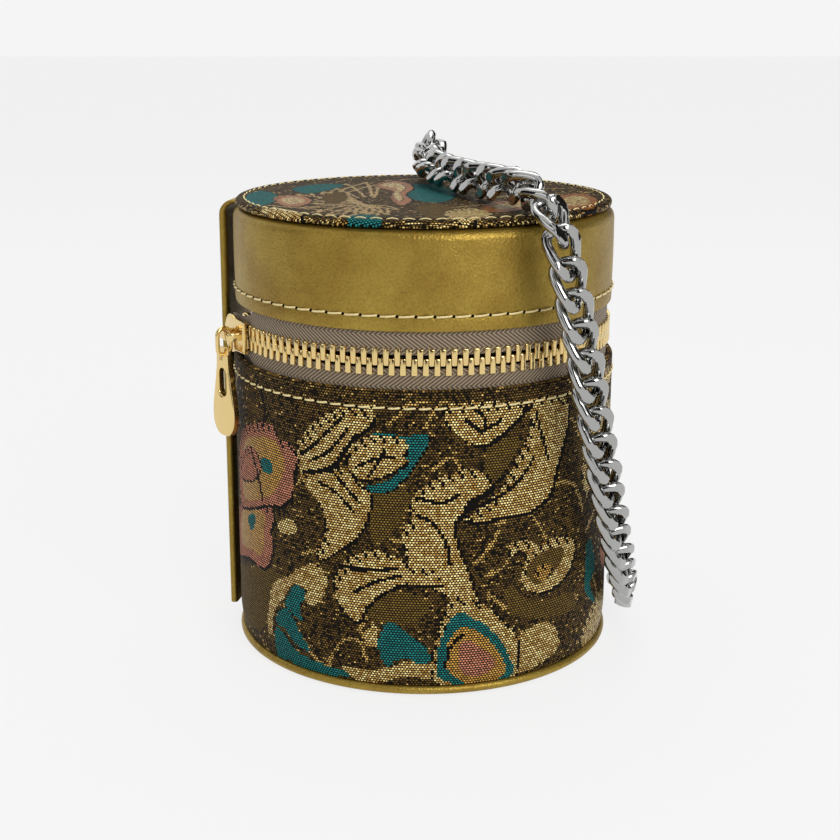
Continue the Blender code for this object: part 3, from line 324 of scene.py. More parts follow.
# Thread, how far a dark edge shows, the view, and the points read in it
TRACED = [
    # dim left
    ("olive", 0, "C", [(25, 395), (60, 398), (95, 402), (120, 420), (112, 455), (100, 500), (75, 525),
        (45, 520), (25, 480)]),
    # dim middle
    ("olive", 0, "C", [(556, 140), (596, 118), (625, 128), (612, 165), (588, 196), (562, 232),
        (546, 215), (552, 180)]),
    # dim low
    ("olive", 0, "C", [(300, 458), (330, 442), (390, 452), (432, 468), (425, 498), (382, 518),
        (332, 514), (300, 500)]),
    # dim right
    ("olive", 0, "C", [(596, 438), (640, 462), (680, 470), (724, 452), (746, 478), (704, 502),
        (650, 506), (606, 492)]),
    # dim band
    ("olive", 0, "C", [(310, 235), (345, 222), (382, 232), (388, 262), (372, 300), (352, 330),
        (318, 346), (304, 320), (312, 280)]),
    # dim leaf
    ("olive", 0, "C", [(745, 130), (765, 110), (785, 125), (792, 170), (782, 215), (762, 235),
        (748, 200), (752, 165)]),
    # stem
    ("gold", 0.5, "A", [(350, 440), (430, 405), (540, 400), (620, 460), (700, 540), (700, 640),
        (650, 760), (560, 830), (470, 880), (440, 860), (480, 760), (480, 660), (440, 580), (380, 510)]),
    # side spray
    ("gold", 0, "A", [(560, 400), (640, 280), (700, 160), (740, 110), (700, 100), (660, 110), (670, 180),
        (600, 310)]),
    # upper petal
    ("gold", 0.9, "C", [(158, 186), (150, 160), (162, 125), (190, 90), (225, 66), (270, 60), (300, 66),
        (312, 84), (296, 104), (270, 122), (250, 150), (228, 178), (205, 188), (180, 190)]),
    # teal comma
    ("teal", 0.3, "A", [(720, 238), (800, 240), (890, 262), (975, 252), (1010, 262), (1000, 300),
        (960, 360), (925, 425), (880, 480), (800, 538), (705, 540), (690, 512), (790, 490), (860, 430),
        (900, 345), (870, 290), (780, 272)]),
    # petal by teal
    ("gold", 0.5, "C", [(262, 150), (290, 125), (318, 116), (345, 116), (372, 122), (386, 142),
        (378, 158), (388, 172), (366, 190), (340, 200), (318, 208), (300, 214), (278, 204), (262, 185)]),
    # tall leaf
    ("gold", 0.9, "C", [(645, 50), (650, 90), (640, 130), (620, 170), (600, 205), (580, 235), (555, 262),
        (525, 285), (505, 300), (545, 300), (590, 290), (635, 282), (668, 265), (690, 240), (700, 200),
        (712, 160), (722, 120), (728, 80), (722, 45), (690, 35), (660, 38)]),
    # acanthus
    ("gold", 0.9, "C", [(440, 215), (480, 198), (520, 190), (550, 198), (566, 222), (552, 240),
        (530, 248), (512, 262), (505, 280), (490, 300), (488, 330), (498, 365), (512, 405), (528, 445),
        (534, 478), (505, 478), (480, 462), (450, 446), (425, 436), (405, 420), (392, 392), (384, 362),
        (380, 335), (384, 310), (396, 298), (392, 275), (400, 250), (415, 230)]),
    # lower curl
    ("gold", 0.7, "A", [(525, 970), (600, 870), (720, 838), (830, 865), (930, 925), (1010, 930),
        (1060, 1010), (960, 1010), (860, 1010), (760, 1060), (690, 1130), (650, 1200), (590, 1150),
        (540, 1070)]),
    # bell leaf
    ("gold", 0.8, "B", [(150, 110), (165, 190), (230, 260), (300, 300), (370, 300), (430, 250),
        (500, 190), (545, 130), (548, 90), (400, 85), (250, 95)]),
    # lotus crescent
    ("gold", 0.5, "C", [(598, 352), (625, 340), (652, 345), (672, 358), (668, 372), (645, 368),
        (622, 364), (606, 372)]),
    # lotus petal
    ("gold", 0.7, "C", [(628, 408), (640, 375), (665, 352), (700, 336), (732, 336), (742, 352),
        (738, 380), (725, 410), (700, 436), (672, 452), (648, 448), (632, 432)]),
    # lotus inside
    ("olive", 0, "C", [(642, 402), (658, 377), (688, 358), (714, 354), (720, 370), (710, 394),
        (690, 417), (662, 432), (646, 424)]),
    # lotus heart
    ("pale", 0.3, "C", [(658, 404), (674, 390), (692, 394), (688, 412), (672, 424), (658, 418)]),
    # right patch
    ("gold", 0, "B", [(500, 1300), (600, 1215), (680, 1200), (725, 1260), (720, 1340), (650, 1400),
        (540, 1460), (505, 1400)]),
    # hem gold
    ("gold", 0, "A", [(560, 1420), (700, 1440), (830, 1415), (900, 1400), (1050, 1420), (1090, 1480),
        (1000, 1490), (880, 1480), (760, 1510), (640, 1500)]),
    # bud outer
    ("gold", 0.6, "B", [(100, 1500), (90, 1350), (130, 1200), (200, 1075), (330, 1105), (450, 1190),
        (510, 1290), (520, 1400), (500, 1500), (300, 1560)]),
    # bud teal
    ("teal", 0, "B", [(125, 1480), (115, 1380), (130, 1280), (205, 1155), (310, 1190), (420, 1270),
        (480, 1370), (490, 1480), (300, 1540)]),
    # bud gold
    ("pale", 0, "B", [(170, 1460), (150, 1380), (170, 1300), (235, 1228), (330, 1260), (420, 1340),
        (455, 1420), (440, 1490), (300, 1530)]),
    # bud rose
    ("rose", 0, "B", [(215, 1400), (225, 1320), (285, 1295), (345, 1330), (395, 1365), (400, 1425),
        (330, 1470), (250, 1460)]),
    # foot gold
    ("gold", 0, "A", [(220, 1010), (310, 960), (400, 900), (480, 950), (470, 1060), (420, 1120),
        (380, 1100), (385, 1030), (320, 1005), (270, 1080), (225, 1150), (215, 1260), (190, 1230),
        (200, 1100)]),
    # teal leaf a
    ("teal", 0, "A", [(280, 1095), (320, 1020), (375, 1035), (370, 1080), (352, 1130), (365, 1200),
        (330, 1165), (288, 1125)]),
    # teal leaf b
    ("teal", 0, "A", [(232, 1160), (285, 1132), (340, 1215), (405, 1345), (340, 1310), (275, 1235),
        (240, 1215)]),
    # teal leaf c
    ("teal", 0, "A", [(228, 1235), (262, 1245), (330, 1340), (430, 1405), (560, 1440), (600, 1482),
        (480, 1475), (380, 1452), (300, 1400), (226, 1370)]),
    # teal wedge
    ("teal", 0, "A", [(750, 1290), (790, 1208), (830, 1210), (900, 1258), (990, 1330), (1005, 1405),
        (950, 1408), (890, 1385), (830, 1400), (795, 1420), (757, 1370)]),
    # teal edge
    ("teal", 0, "B", [(868, 810), (890, 780), (912, 900), (885, 1010), (912, 1080), (890, 1092),
        (860, 1040), (862, 920)]),
    # sprig left
    ("gold", 0, "A", [(235, 700), (290, 670), (330, 700), (335, 750), (270, 760)]),
    # sprig mid
    ("gold", 0, "A", [(680, 1290), (720, 1210), (745, 1250), (735, 1330)]),
    # rose lower
    ("rose", 0.7, "A", [(50, 620), (150, 590), (205, 620), (218, 680), (206, 740), (216, 830),
        (190, 912), (150, 922), (90, 868), (50, 830)]),
    # heart lower
    ("pale", 0, "A", [(60, 640), (130, 630), (175, 660), (170, 740), (170, 820), (150, 860), (110, 830),
        (60, 790)]),
    # eye lower
    ("teal", 0, "A", [(88, 662), (122, 650), (126, 705), (104, 735)]),
    # rose upper
    ("rose", 0.7, "A", [(60, 230), (150, 190), (210, 200), (240, 262), (300, 290), (332, 370),
        (312, 470), (312, 555), (255, 610), (190, 600), (60, 600), (45, 400)]),
    # heart upper
    ("pale", 0, "A", [(70, 300), (150, 260), (220, 280), (262, 350), (272, 430), (240, 520), (180, 570),
        (70, 560)]),
    # patch upper
    ("rose", 0.4, "A", [(55, 380), (80, 320), (120, 310), (150, 370), (150, 440), (110, 480), (60, 460)]),
    # eye upper
    ("teal", 0, "A", [(158, 378), (205, 384), (212, 450), (165, 440)]),
]
MOTIFS = [(kind, shadow, [on_cloth(view, *point) for point in points])
          for kind, shadow, view, points in TRACED]
MOTIFS += [
    # filling for the side that turns away: two leaves, a bud and a blossom
    ("gold", 0.8, [(44, 52), (50, 60), (58, 64), (66, 62), (70, 55), (64, 50), (58, 52), (52, 46),
                   (46, 44)]),
    ("gold", 0.7, [(46, 6), (52, 12), (60, 14), (69, 10), (73, 3), (66, 5), (60, 2), (52, 1)]),
    ("teal", 0.3, [(60, 46), (66, 48), (72, 44), (74, 37), (70, 39), (66, 43)]),
    ("rose", 0.6, [(58, 30), (61, 36), (67, 37), (72, 33), (73, 26), (69, 20), (62, 19), (58, 24)]),
    ("pale", 0.0, [(61, 29), (64, 33), (69, 32), (70, 27), (66, 23), (62, 25)]),
    ("teal", 0.0, [(64, 27), (66, 30), (68, 28), (66, 26)]),
    ("gold", 0.6, [(42, 68), (48, 72), (58, 73), (66, 70), (60, 68), (50, 67)]),
]
# Thin lines in the weave: thread, then the points of the line
LINES = [
    ("dark", [(-31, 57), (-26, 61), (-20, 67)]),
    ("dark", [(-28, 56), (-23, 59), (-18, 65)]),
    ("dark", [(-16, 56), (-12, 58), (-7, 59)]),
    ("dark", [(-13, 54), (-11, 57), (-9, 61)]),
    ("dark", [(-26, 51), (-21, 49), (-17, 45)]),
    ("dark", [(-22, 54), (-18, 50), (-15, 47)]),
    ("dark", [(-19, 31), (-13, 31), (-6, 32)]),
    ("dark", [(-17, 25), (-12, 28), (-6, 30)]),
    ("dark", [(-2, 45), (2, 43), (5, 38), (6, 33)]),
    ("dark", [(-1, 49), (4, 48), (8, 50)]),
    ("dark", [(10, 46), (16, 48), (22, 51), (27, 57)]),
    ("dark", [(9, 44.5), (14, 50), (20, 54)]),
    ("dark", [(27, 68), (29, 62), (31, 56)]),
    ("dark", [(9, 68), (13, 65), (18, 67)]),
    ("dark", [(13, 64), (14, 67), (12, 70)]),
    ("bright", [(-10, 48), (-5, 46), (-1, 47)]),
    ("bright", [(-11, 44), (-6, 42), (-2, 43)]),
    ("bright", [(-12, 40), (-8, 39), (-4, 38)]),
    ("bright", [(-31, 32), (-25, 35), (-22, 39)]),
    ("bright", [(-8, 17), (-9, 22), (-7, 27)]),
    ("bright", [(-14, 12), (-15, 17), (-11, 22), (-6, 24)]),
    ("bright", [(-24, 6), (-20, 12), (-16, 13), (-14, 8)]),
    ("bright", [(-38, 17), (-33, 12), (-28, 6), (-22, 4)]),
    ("bright", [(12, 33), (16, 37), (18, 42)]),
    ("bright", [(14, 29), (19, 31), (22, 36)]),
    ("bright", [(15, 25), (18, 22), (23, 19)]),
    ("bright", [(17, 42), (23, 44), (28, 41), (31, 36)]),
    ("bright", [(26, 27), (31, 24), (35, 26), (36, 31)]),
    ("bright", [(25, 18), (31, 20), (38, 16), (44, 18)]),
    ("bright", [(30, 46), (35, 49), (41, 47), (45, 40)]),
    ("bright", [(36, 66), (41, 62), (43, 55)]),
    ("bright", [(2, 56), (6, 59), (8, 56)]),
    ("bright", [(0, 66), (2, 70), (4, 72)]),
    ("bright", [(-8, 67), (-4, 71), (0, 72)]),
    ("bright", [(47, 34), (52, 38), (58, 40), (64, 39)]),
    ("bright", [(46, 24), (52, 20), (56, 14)]),
    ("bright", [(-72, 60), (-66, 66), (-60, 72)]),
    ("bright", [(-74, 14), (-66, 18), (-58, 16), (-50, 18)]),
    ("dark", [(-45, 61), (-44, 66), (-47, 72)]),
    ("dark", [(-52, 54), (-48, 48), (-46, 42)]),
    ("dark", [(5, 7), (6, 12), (9, 15)]),
]
CELL_COLUMNS = 402
CELL_HEIGHT = 0.6
CLOTH_FOOT = 2.1
CLOTH_ROWS = 119


def smooth_outline(points, closed=True, steps=7):
    """A smooth curve through given points."""
    points = np.array(points, float)
    count = len(points)
    if closed:
        ring = [points[i % count] for i in range(-1, count + 2)]
    else:
        ring = [points[0], *points, points[-1]]
    curve = []
    for i in range(len(ring) - 3):
        p0, p1, p2, p3 = ring[i:i + 4]
        for k in range(steps):
            t = k / steps
            curve.append(0.5 * (2 * p1 + (p2 - p0) * t + (2 * p0 - 5 * p1 + 4 * p2 - p3) * t * t
                                + (3 * p1 - p0 - 3 * p2 + p3) * t ** 3))
    if not closed:
        curve.append(points[-1])
    return np.array(curve)


def within(points, outline):
    """Which points lie inside a closed outline."""
    x, y = points[:, 0], points[:, 1]
    hit = np.zeros(len(points), bool)
    for (x1, y1), (x2, y2) in zip(outline, np.roll(outline, -1, axis=0)):
        crosses = (y1 > y) != (y2 > y)
        level = (x2 - x1) * (y - y1) / (y2 - y1 + 1e-12) + x1
        hit ^= crosses & (x < level)
    return hit


def near(points, line, reach):
    """Which points lie within reach of an open line."""
    hit = np.zeros(len(points), bool)
    for start, end in zip(line, line[1:]):
        run = end - start
        share = np.clip(((points - start) @ run) / (run @ run + 1e-12), 0, 1)
        hit |= np.hypot(*(points - start - share[:, None] * run).T) < reach
    return hit


THREADS = {"ground": 0, "gold": 1, "pale": 2, "teal": 3, "rose": 4, "dark": 5, "bright": 6, "rust": 7,
           "olive": 8}


def weave(points, motifs, lines, seed):
    """The thread that shows at each crossing of the cloth."""
    random = np.random.default_rng(seed)
    thread = np.zeros(len(points), int)
    speck = random.random(len(points))
    thread[speck < 0.045] = THREADS["bright"]
    thread[(speck > 0.8) & (speck < 0.93)] = THREADS["olive"]
    for kind, line in lines:
        if kind == "bright":
            thread[near(points, smooth_outline(line, closed=False),
                        0.42) & (speck > 0.12)] = THREADS[kind]
    for kind, shadow, outline in motifs:
        curve = smooth_outline(outline)
        if shadow:
            edge = within(points - np.array([shadow, -0.8 * shadow]),
                          curve) | within(points + 0.3 * shadow, curve)
            thread[edge] = THREADS["dark"]
        inside = within(points, curve)
        thread[inside] = THREADS[kind]
        if kind != "teal" and shadow > 0.2:
            # Ribs run in from a leaf's upper edge
            ribbed = inside & ~within(points + np.array([-1.0, 2.0]), curve)
            thread[ribbed & ((0.8 * points[:, 0] + 0.6 * points[:, 1]) % 2.3 < 0.6)] = THREADS["dark"]
    for kind, line in lines:
        if kind == "dark":
            thread[near(points, smooth_outline(line, closed=False), 0.38)] = THREADS[kind]
    return thread


def dress_cloth(piece, thread, cells):
    """Write each face's thread, and a map that counts the cloth's crossings, onto a piece."""
    mesh = piece.data
    for name, kinds in (("gold_thread", ("gold", "pale", "bright", "rust")), ("pale_thread", ("pale",)),
                        ("bright_thread", ("bright",)), ("teal_thread", ("teal",)),
                        ("rose_thread", ("rose",)),
                        ("rust_thread", ("rust",)), ("olive_thread", ("olive",)),
                        ("dark_thread", ("dark",))):
        layer = mesh.attributes.new(name, "FLOAT", "FACE")
        layer.data.foreach_set("value", np.isin(thread, [THREADS[k] for k in kinds]).astype(np.float32))
    chart = mesh.uv_layers.new(name="cloth")
    chart.data.foreach_set("uv", cells.astype(np.float32).ravel())


hem = arc(47.2, 73.7, 0.8, 0, 90, 4)
sleeve_profile = [(CLOTH_RADIUS, CLOTH_FOOT + CELL_HEIGHT * i) for i in range(CLOTH_ROWS + 1)] + hem
sleeve_profile += [(46.6, 74.5), (46.6, 70.0), (46.1, 66.0), (46.1, 40.0), (46.1, CLOTH_FOOT)]
sleeve = turned("brocade_sleeve", sleeve_profile, CELL_COLUMNS)
mesh = sleeve.data
corner = np.empty(len(mesh.vertices) * 3)
mesh.vertices.foreach_get("co", corner)
corner = corner.reshape(-1, 3)
bearings = np.degrees(np.arctan2(corner[:, 0], -corner[:, 1]))
heights = corner[:, 2] / MM
radii = np.hypot(corner[:, 0], corner[:, 1]) / MM
# The cloth is held down along its stitches and lifts a hair between them
STITCH_HEIGHT = 70.4
BODY_STITCHES = 85
dip = 0.28 * np.exp(-((heights - STITCH_HEIGHT) / 0.7) ** 2)
dip *= 0.75 + 0.25 * np.cos(np.radians(bearings) * BODY_STITCHES)
ease = 0.10 * np.sin(np.radians(bearings) * 5
                     + 0.04 * heights) * np.sin(np.pi * (heights - CLOTH_FOOT) / 70)
ease += 0.8 * np.clip(1 - (heights - CLOTH_FOOT) / 7, 0, 1) ** 2
shift = np.where(radii > 47.0, -dip - np.abs(ease), 0.0)
corner[:, :2] *= (1 + shift / radii)[:, None]
mesh.vertices.foreach_set("co", corner.ravel())
centres = np.empty(len(mesh.polygons) * 3)
mesh.polygons.foreach_get("center", centres)
centres = centres.reshape(-1, 3)
middle = np.degrees(np.arctan2(centres[:, 0], -centres[:, 1]))
half_round = math.pi * CLOTH_RADIUS
flat = np.stack([np.radians(middle) * CLOTH_RADIUS, centres[:, 2] / MM], axis=1)
# The pattern repeats twice round the bag
flat[:, 0] = (flat[:, 0] + 0.5 * half_round) % half_round - 0.5 * half_round
thread = weave(flat, MOTIFS, LINES, 7)
owner = np.repeat(np.arange(len(mesh.polygons)), [len(p.vertices) for p in mesh.polygons])
index = np.empty(len(mesh.loops), int)
mesh.loops.foreach_get("vertex_index", index)
turn = bearings[index]
turn += 360 * np.round((middle[owner] - turn) / 360)
cells = np.stack([turn / (360 / CELL_COLUMNS), (heights[index] - CLOTH_FOOT) / CELL_HEIGHT], axis=1)
dress_cloth(sleeve, thread, cells)

brocade, tree, shader = new_material("jacquard_brocade")
chart = add(tree, "ShaderNodeUVMap", {}, uv_map="cloth").outputs[0]
parts = add(tree, "ShaderNodeSeparateXYZ", {0: chart})
row = calc(tree, "FLOOR", parts.outputs["Y"])
odd = calc(tree, "MODULO", row.outputs[0], 2.0)
slide = calc(tree, "MULTIPLY_ADD", odd.outputs[0], 0.5, parts.outputs["X"])
column = calc(tree, "FLOOR", slide.outputs[0])
x_in = calc(tree, "FRACT", slide.outputs[0])
y_in = calc(tree, "FRACT", parts.outputs["Y"])
x_off = calc(tree, "MULTIPLY_ADD", x_in.outputs[0], 2.0, -1.0)
y_off = calc(tree, "MULTIPLY_ADD", y_in.outputs[0], 2.0, -1.0)
x_sq = calc(tree, "MULTIPLY", x_off.outputs[0], x_off.outputs[0])
y_sq = calc(tree, "MULTIPLY", y_off.outputs[0], y_off.outputs[0])
far = calc(tree, "MULTIPLY_ADD", y_sq.outputs[0], 1.25, x_sq.outputs[0])
# A float of thread is painted bright along its crown, a painted highlight, and painted darker as it falls
# away into the gap between threads, painted shade
crown = ramp(tree, far.outputs[0], 0.8, 0.25, 0.0, 1.0)
cell = add(tree, "ShaderNodeCombineXYZ", {0: column.outputs[0], 1: row.outputs[0]})
chance = add(tree, "ShaderNodeTexWhiteNoise", {"Vector": cell.outputs[0]}, noise_dimensions="2D")
drift = add(tree, "ShaderNodeTexNoise", {"Vector": chart, "Scale": 0.16, "Detail": 3.0},
            noise_dimensions="2D")
dull = colour_mix(tree, drift.outputs["Fac"], linear("443418"), linear("7A5C2C"))
dim = ramp(tree, chance.outputs["Value"], 0.0, 1.0, -0.1, 1.7)
colour = colour_mix(tree, dim.outputs[0], linear("1A140C"), dull.outputs[2])
# Painted shade: the gap between threads is painted nearly black
gap = colour_mix(tree, drift.outputs["Fac"], linear("060403"), linear("0B0805"))
gold_tone = colour_mix(tree, chance.outputs["Value"], linear("D29C42"), linear("FFE8A0"))
for name, tint in (("gold_thread", gold_tone.outputs[2]), ("pale_thread", linear("DCA850")),
                   ("bright_thread", linear("E0B868")), ("teal_thread", linear("1F7F7C")),
                   ("rose_thread", linear("D48C6E")),
                   ("rust_thread", linear("C87A30")), ("olive_thread", linear("7A602A")),
                   ("dark_thread", linear("0E0B09"))):
    mask = add(tree, "ShaderNodeAttribute", {}, attribute_name=name, attribute_type="GEOMETRY")
    colour = colour_mix(tree, mask.outputs["Fac"], colour.outputs[2], tint)
    if name == "gold_thread":
        lurex = mask
wobble = ramp(tree, chance.outputs["Value"], 0.0, 1.0, 0.72, 1.3)
lively = add(tree, "ShaderNodeVectorMath", {0: colour.outputs[2], "Scale": wobble.outputs[0]},
             operation="SCALE")
woven = colour_mix(tree, crown.outputs[0], gap.outputs[2], lively.outputs[0])
shine = calc(tree, "MULTIPLY", lurex.outputs["Fac"], 0.25)
shader.inputs["Specular IOR Level"].default_value = 0.08
rough = ramp(tree, lurex.outputs["Fac"], 0.0, 1.0, 0.62, 0.42)
bump = add(tree, "ShaderNodeBump", {"Strength": 0.7, "Distance": 0.00016, "Height": crown.outputs[0]})
tree.links.new(woven.outputs[2], shader.inputs["Base Color"])
tree.links.new(shine.outputs[0], shader.inputs["Metallic"])
tree.links.new(rough.outputs[0], shader.inputs["Roughness"])
tree.links.new(bump.outputs[0], shader.inputs["Normal"])
finish(sleeve, brocade, "brocade", "bag", "body_brocade", angle=50)


# Inside of the body: grey box board, and a plain brown lining glued to it. Both show only when the
# lid is open, as the board's cut edge and the lining's weave.
board, tree, shader = new_material("grey_board")
place = add(tree, "ShaderNodeTexCoord", {}).outputs["Object"]
pulp = add(tree, "ShaderNodeTexNoise", {"Vector": place, "Scale": 900.0, "Detail": 4.0, "Roughness": 0.7})
mix = colour_mix(tree, pulp.outputs["Fac"], linear("6E685E"), linear("9C958A"))
bump = add(tree, "ShaderNodeBump", {"Strength": 0.3, "Distance": 0.0001, "Height": pulp.outputs["Fac"]})
tree.links.new(mix.outputs[2], shader.inputs["Base Color"])
tree.links.new(bump.outputs[0], shader.inputs["Normal"])
shader.inputs["Roughness"].default_value = 0.85

lining, tree, shader = new_material("lining_twill")
place = add(tree, "ShaderNodeTexCoord", {}).outputs["Object"]
parts = add(tree, "ShaderNodeSeparateXYZ", {0: place})
round_way = calc(tree, "ARCTAN2", parts.outputs["Y"], parts.outputs["X"])
# Twill lines 0.5 mm apart, counted round the bag and up it
climb = calc(tree, "MULTIPLY", parts.outputs["Z"], 22.0)
twill = calc(tree, "ADD", round_way.outputs[0], climb.outputs[0])
ribs = calc(tree, "MULTIPLY", twill.outputs[0], 500.0)
wave = calc(tree, "SINE", ribs.outputs[0])
rise = ramp(tree, wave.outputs[0], -1.0, 1.0, 0.0, 1.0)
cloudy = add(tree, "ShaderNodeTexNoise", {"Vector": place, "Scale": 160.0, "Detail": 3.0})
tone = colour_mix(tree, cloudy.outputs["Fac"], linear("5A4E3E"), linear("7C6D58"))
# Painted shade: the grooves between the twill lines are painted darker
dark = colour_mix(tree, rise.outputs[0], linear("4A4032"), tone.outputs[2])
bump = add(tree, "ShaderNodeBump", {"Strength": 0.35, "Distance": 0.00008, "Height": rise.outputs[0]})
tree.links.new(dark.outputs[2], shader.inputs["Base Color"])
tree.links.new(bump.outputs[0], shader.inputs["Normal"])
shader.inputs["Roughness"].default_value = 0.8
shader.inputs["Sheen Weight"].default_value = 0.2
for name, material in (("base_board", board), ("body_stiffener", board), ("lid_stiffener", board),
                       ("lid_board", board),
                       ("base_lining", lining), ("body_lining", lining), ("lid_lining", lining),
                       ("lid_top_lining", lining)):
    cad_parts[name].data.materials.clear()
    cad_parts[name].data.materials.append(material)


# Lid band: a strip of the same leather glued round a board ring, its lower edge stitched to the zip
# tape, its upper edge rolled over the shoulder and in under the top disc.
band_profile = arc(46.8, 88.2, 0.4, -90, 0, 4) + [(47.26, 89.4), (47.28, 90.4)]
band_profile += [(47.2, 91.0), (47.16, 91.4), (47.2, 91.8), (47.28, 92.4), (47.3, 95.0), (47.34, 99.0),
                 (47.34, 103.0)]
band_profile += [(47.3, 106.5)] + arc(44.9, 108.2, 2.4, 0, 90, 12) + [(43.3, 110.6), (43.3, 109.9)]
band_profile += [(44.9, 109.9), (46.4, 108.2), (46.5, 95.0), (46.6, 88.2)]
band = turned("lid_band_leather", band_profile, 340)
STITCH_ON_BAND = 91.4
BAND_STITCHES = 70
mesh = band.data
corner = np.array([v.co for v in mesh.vertices])
bearings = np.degrees(np.arctan2(corner[:, 0], -corner[:, 1]))
heights = corner[:, 2] / MM
radii = np.hypot(corner[:, 0], corner[:, 1]) / MM
pucker = 0.10 * np.cos(np.radians(bearings) * BAND_STITCHES)
pucker *= np.exp(-((heights - STITCH_ON_BAND) / 1.2) ** 2)
corner[:, :2] *= (1 + np.where(radii > 47.0, -np.abs(pucker), 0.0) / radii)[:, None]
mesh.vertices.foreach_set("co", corner.ravel())
finish(band, gold_leather, "gold_leather", "lid", "lid_band")


# Top-stitching: waxed cream thread, up to 0.5 mm thick, round the lid's band, the hem of the brocade and the
# rim of the top disc. Each stitch dives into a needle hole, shown at its ends as a small dark disc of
# painted shade.
def set_at(x_axis, y_axis, z_axis, origin):
    """A matrix that places a piece by its three directions and its origin in mm."""
    matrix = Matrix((x_axis, y_axis, z_axis)).transposed().to_4x4()
    matrix.translation = Vector(origin) * MM
    return matrix


def on_wall(bearing, radius, height, slant=0.0):
    """Place on the side of the bag: X runs round it, Y up and Z outwards."""
    matrix = set_at(along(bearing), Vector((0, 0, 1)), outward(bearing),
                    radius * outward(bearing) + Vector((0, 0, height)))
    return matrix @ Matrix.Rotation(math.radians(slant), 4, "Z")


def on_top(bearing, radius, height, slant=0.0):
    """Place on the top of the lid: X runs round it, Y points to the middle and Z up."""
    matrix = set_at(along(bearing), -outward(bearing), Vector((0, 0, 1)),
                    radius * outward(bearing) + Vector((0, 0, height)))
    return matrix @ Matrix.Rotation(math.radians(slant), 4, "Z")


def repeated(name, source, matrices):
    """Copy one small mesh to many places as one piece, and drop the pattern piece."""
    base = np.array([(*v.co, 1.0) for v in source.data.vertices])
    faces = [tuple(p.vertices) for p in source.data.polygons]
    points = [base @ np.array(m).T for m in matrices]
    every = [tuple(i + len(base) * n for i in face) for n in range(len(matrices)) for face in faces]
    mesh = bpy.data.meshes.new(name)
    mesh.from_pydata(np.concatenate(points)[:, :3], [], every)
    piece = bpy.data.objects.new(name, mesh)
    bpy.context.collection.objects.link(piece)
    bpy.data.objects.remove(source)
    return piece


def one_stitch(length, thick):
    deselect()
    bpy.ops.curve.primitive_bezier_curve_add()
    thread = bpy.context.object
    points = thread.data.splines[0].bezier_points
    for point, side in ((points[0], -1), (points[1], 1)):
        point.co = (side * 0.5 * length * MM, 0, -0.5 * thick * MM)
        point.handle_left = (side * 0.5 * length * MM - 0.3 * length * MM, 0, 0.75 * thick * MM)
        point.handle_right = (side * 0.5 * length * MM + 0.3 * length * MM, 0, 0.75 * thick * MM)
    points[0].handle_left = (-0.6 * length * MM, 0, -thick * MM)
    points[1].handle_right = (0.6 * length * MM, 0, -thick * MM)
    thread.data.bevel_depth = 0.5 * thick * MM
    thread.data.bevel_resolution = 1
    thread.data.resolution_u = 7
    thread.data.use_fill_caps = True
    bpy.ops.object.convert(target="MESH")
    bpy.ops.object.mode_set(mode="EDIT")
    bpy.ops.mesh.select_all(action="SELECT")
    bpy.ops.mesh.remove_doubles(threshold=0.000002)
    bpy.ops.mesh.normals_make_consistent(inside=False)
    bpy.ops.object.mode_set(mode="OBJECT")
    return bpy.context.object


# A needle hole's shade: a small flat dark disc, painted shade
def one_hole(width):
    deselect()
    bpy.ops.mesh.primitive_uv_sphere_add(segments=10, ring_count=6, radius=0.5 * width * MM)
    hole = bpy.context.object
    hole.scale = (1.0, 0.8, 0.3)
    bpy.ops.object.transform_apply(scale=True)
    return hole


cream_thread, tree, shader = new_material("waxed_thread")
place = add(tree, "ShaderNodeTexCoord", {}).outputs["Object"]
plies = add(tree, "ShaderNodeTexNoise", {"Vector": place, "Scale": 2600.0, "Detail": 1.0})
tone = colour_mix(tree, plies.outputs["Fac"], linear("B89E5C"), linear("EFE2AE"))
bump = add(tree, "ShaderNodeBump", {"Strength": 0.4, "Distance": 0.00006, "Height": plies.outputs["Fac"]})
tree.links.new(tone.outputs[2], shader.inputs["Base Color"])
tree.links.new(bump.outputs[0], shader.inputs["Normal"])
shader.inputs["Roughness"].default_value = 0.55
RIM_RADIUS = 44.5
RIM_STITCHES = 76
# Painted shade: the needle holes are near-black discs
hole_shade, tree, shader = new_material("needle_hole_shade")
shader.inputs["Base Color"].default_value = linear("0C0A06")
shader.inputs["Roughness"].default_value = 1.0
shader.inputs["Specular IOR Level"].default_value = 0.0

for name, body, slot, place_at, radius, height, count, thick in (
        ("band", "lid", "gold_leather", on_wall, 47.3, STITCH_ON_BAND, BAND_STITCHES, 0.48),
        ("hem", "bag", "brocade", on_wall, 47.86, STITCH_HEIGHT, BODY_STITCHES, 0.5),
        ("rim", "lid", "brocade", on_top, RIM_RADIUS, 112.78, RIM_STITCHES, 0.36)):
    pitch = math.tau * radius / count
    turns = [360 * i / count for i in range(count)]
    stitches = repeated(name + "_stitches", one_stitch(pitch - 0.75, thick),
                        [place_at(t, radius, height, 4) for t in turns])
    finish(stitches, cream_thread, slot, body, angle=60)
    holes = repeated(name + "_needle_hole_shades", one_hole(0.85),
                     [place_at(t + 180 / count, radius - (0.06 if place_at is on_wall else 0.0),
                               height) for t in turns])
    finish(holes, hole_shade, slot, body, angle=60)


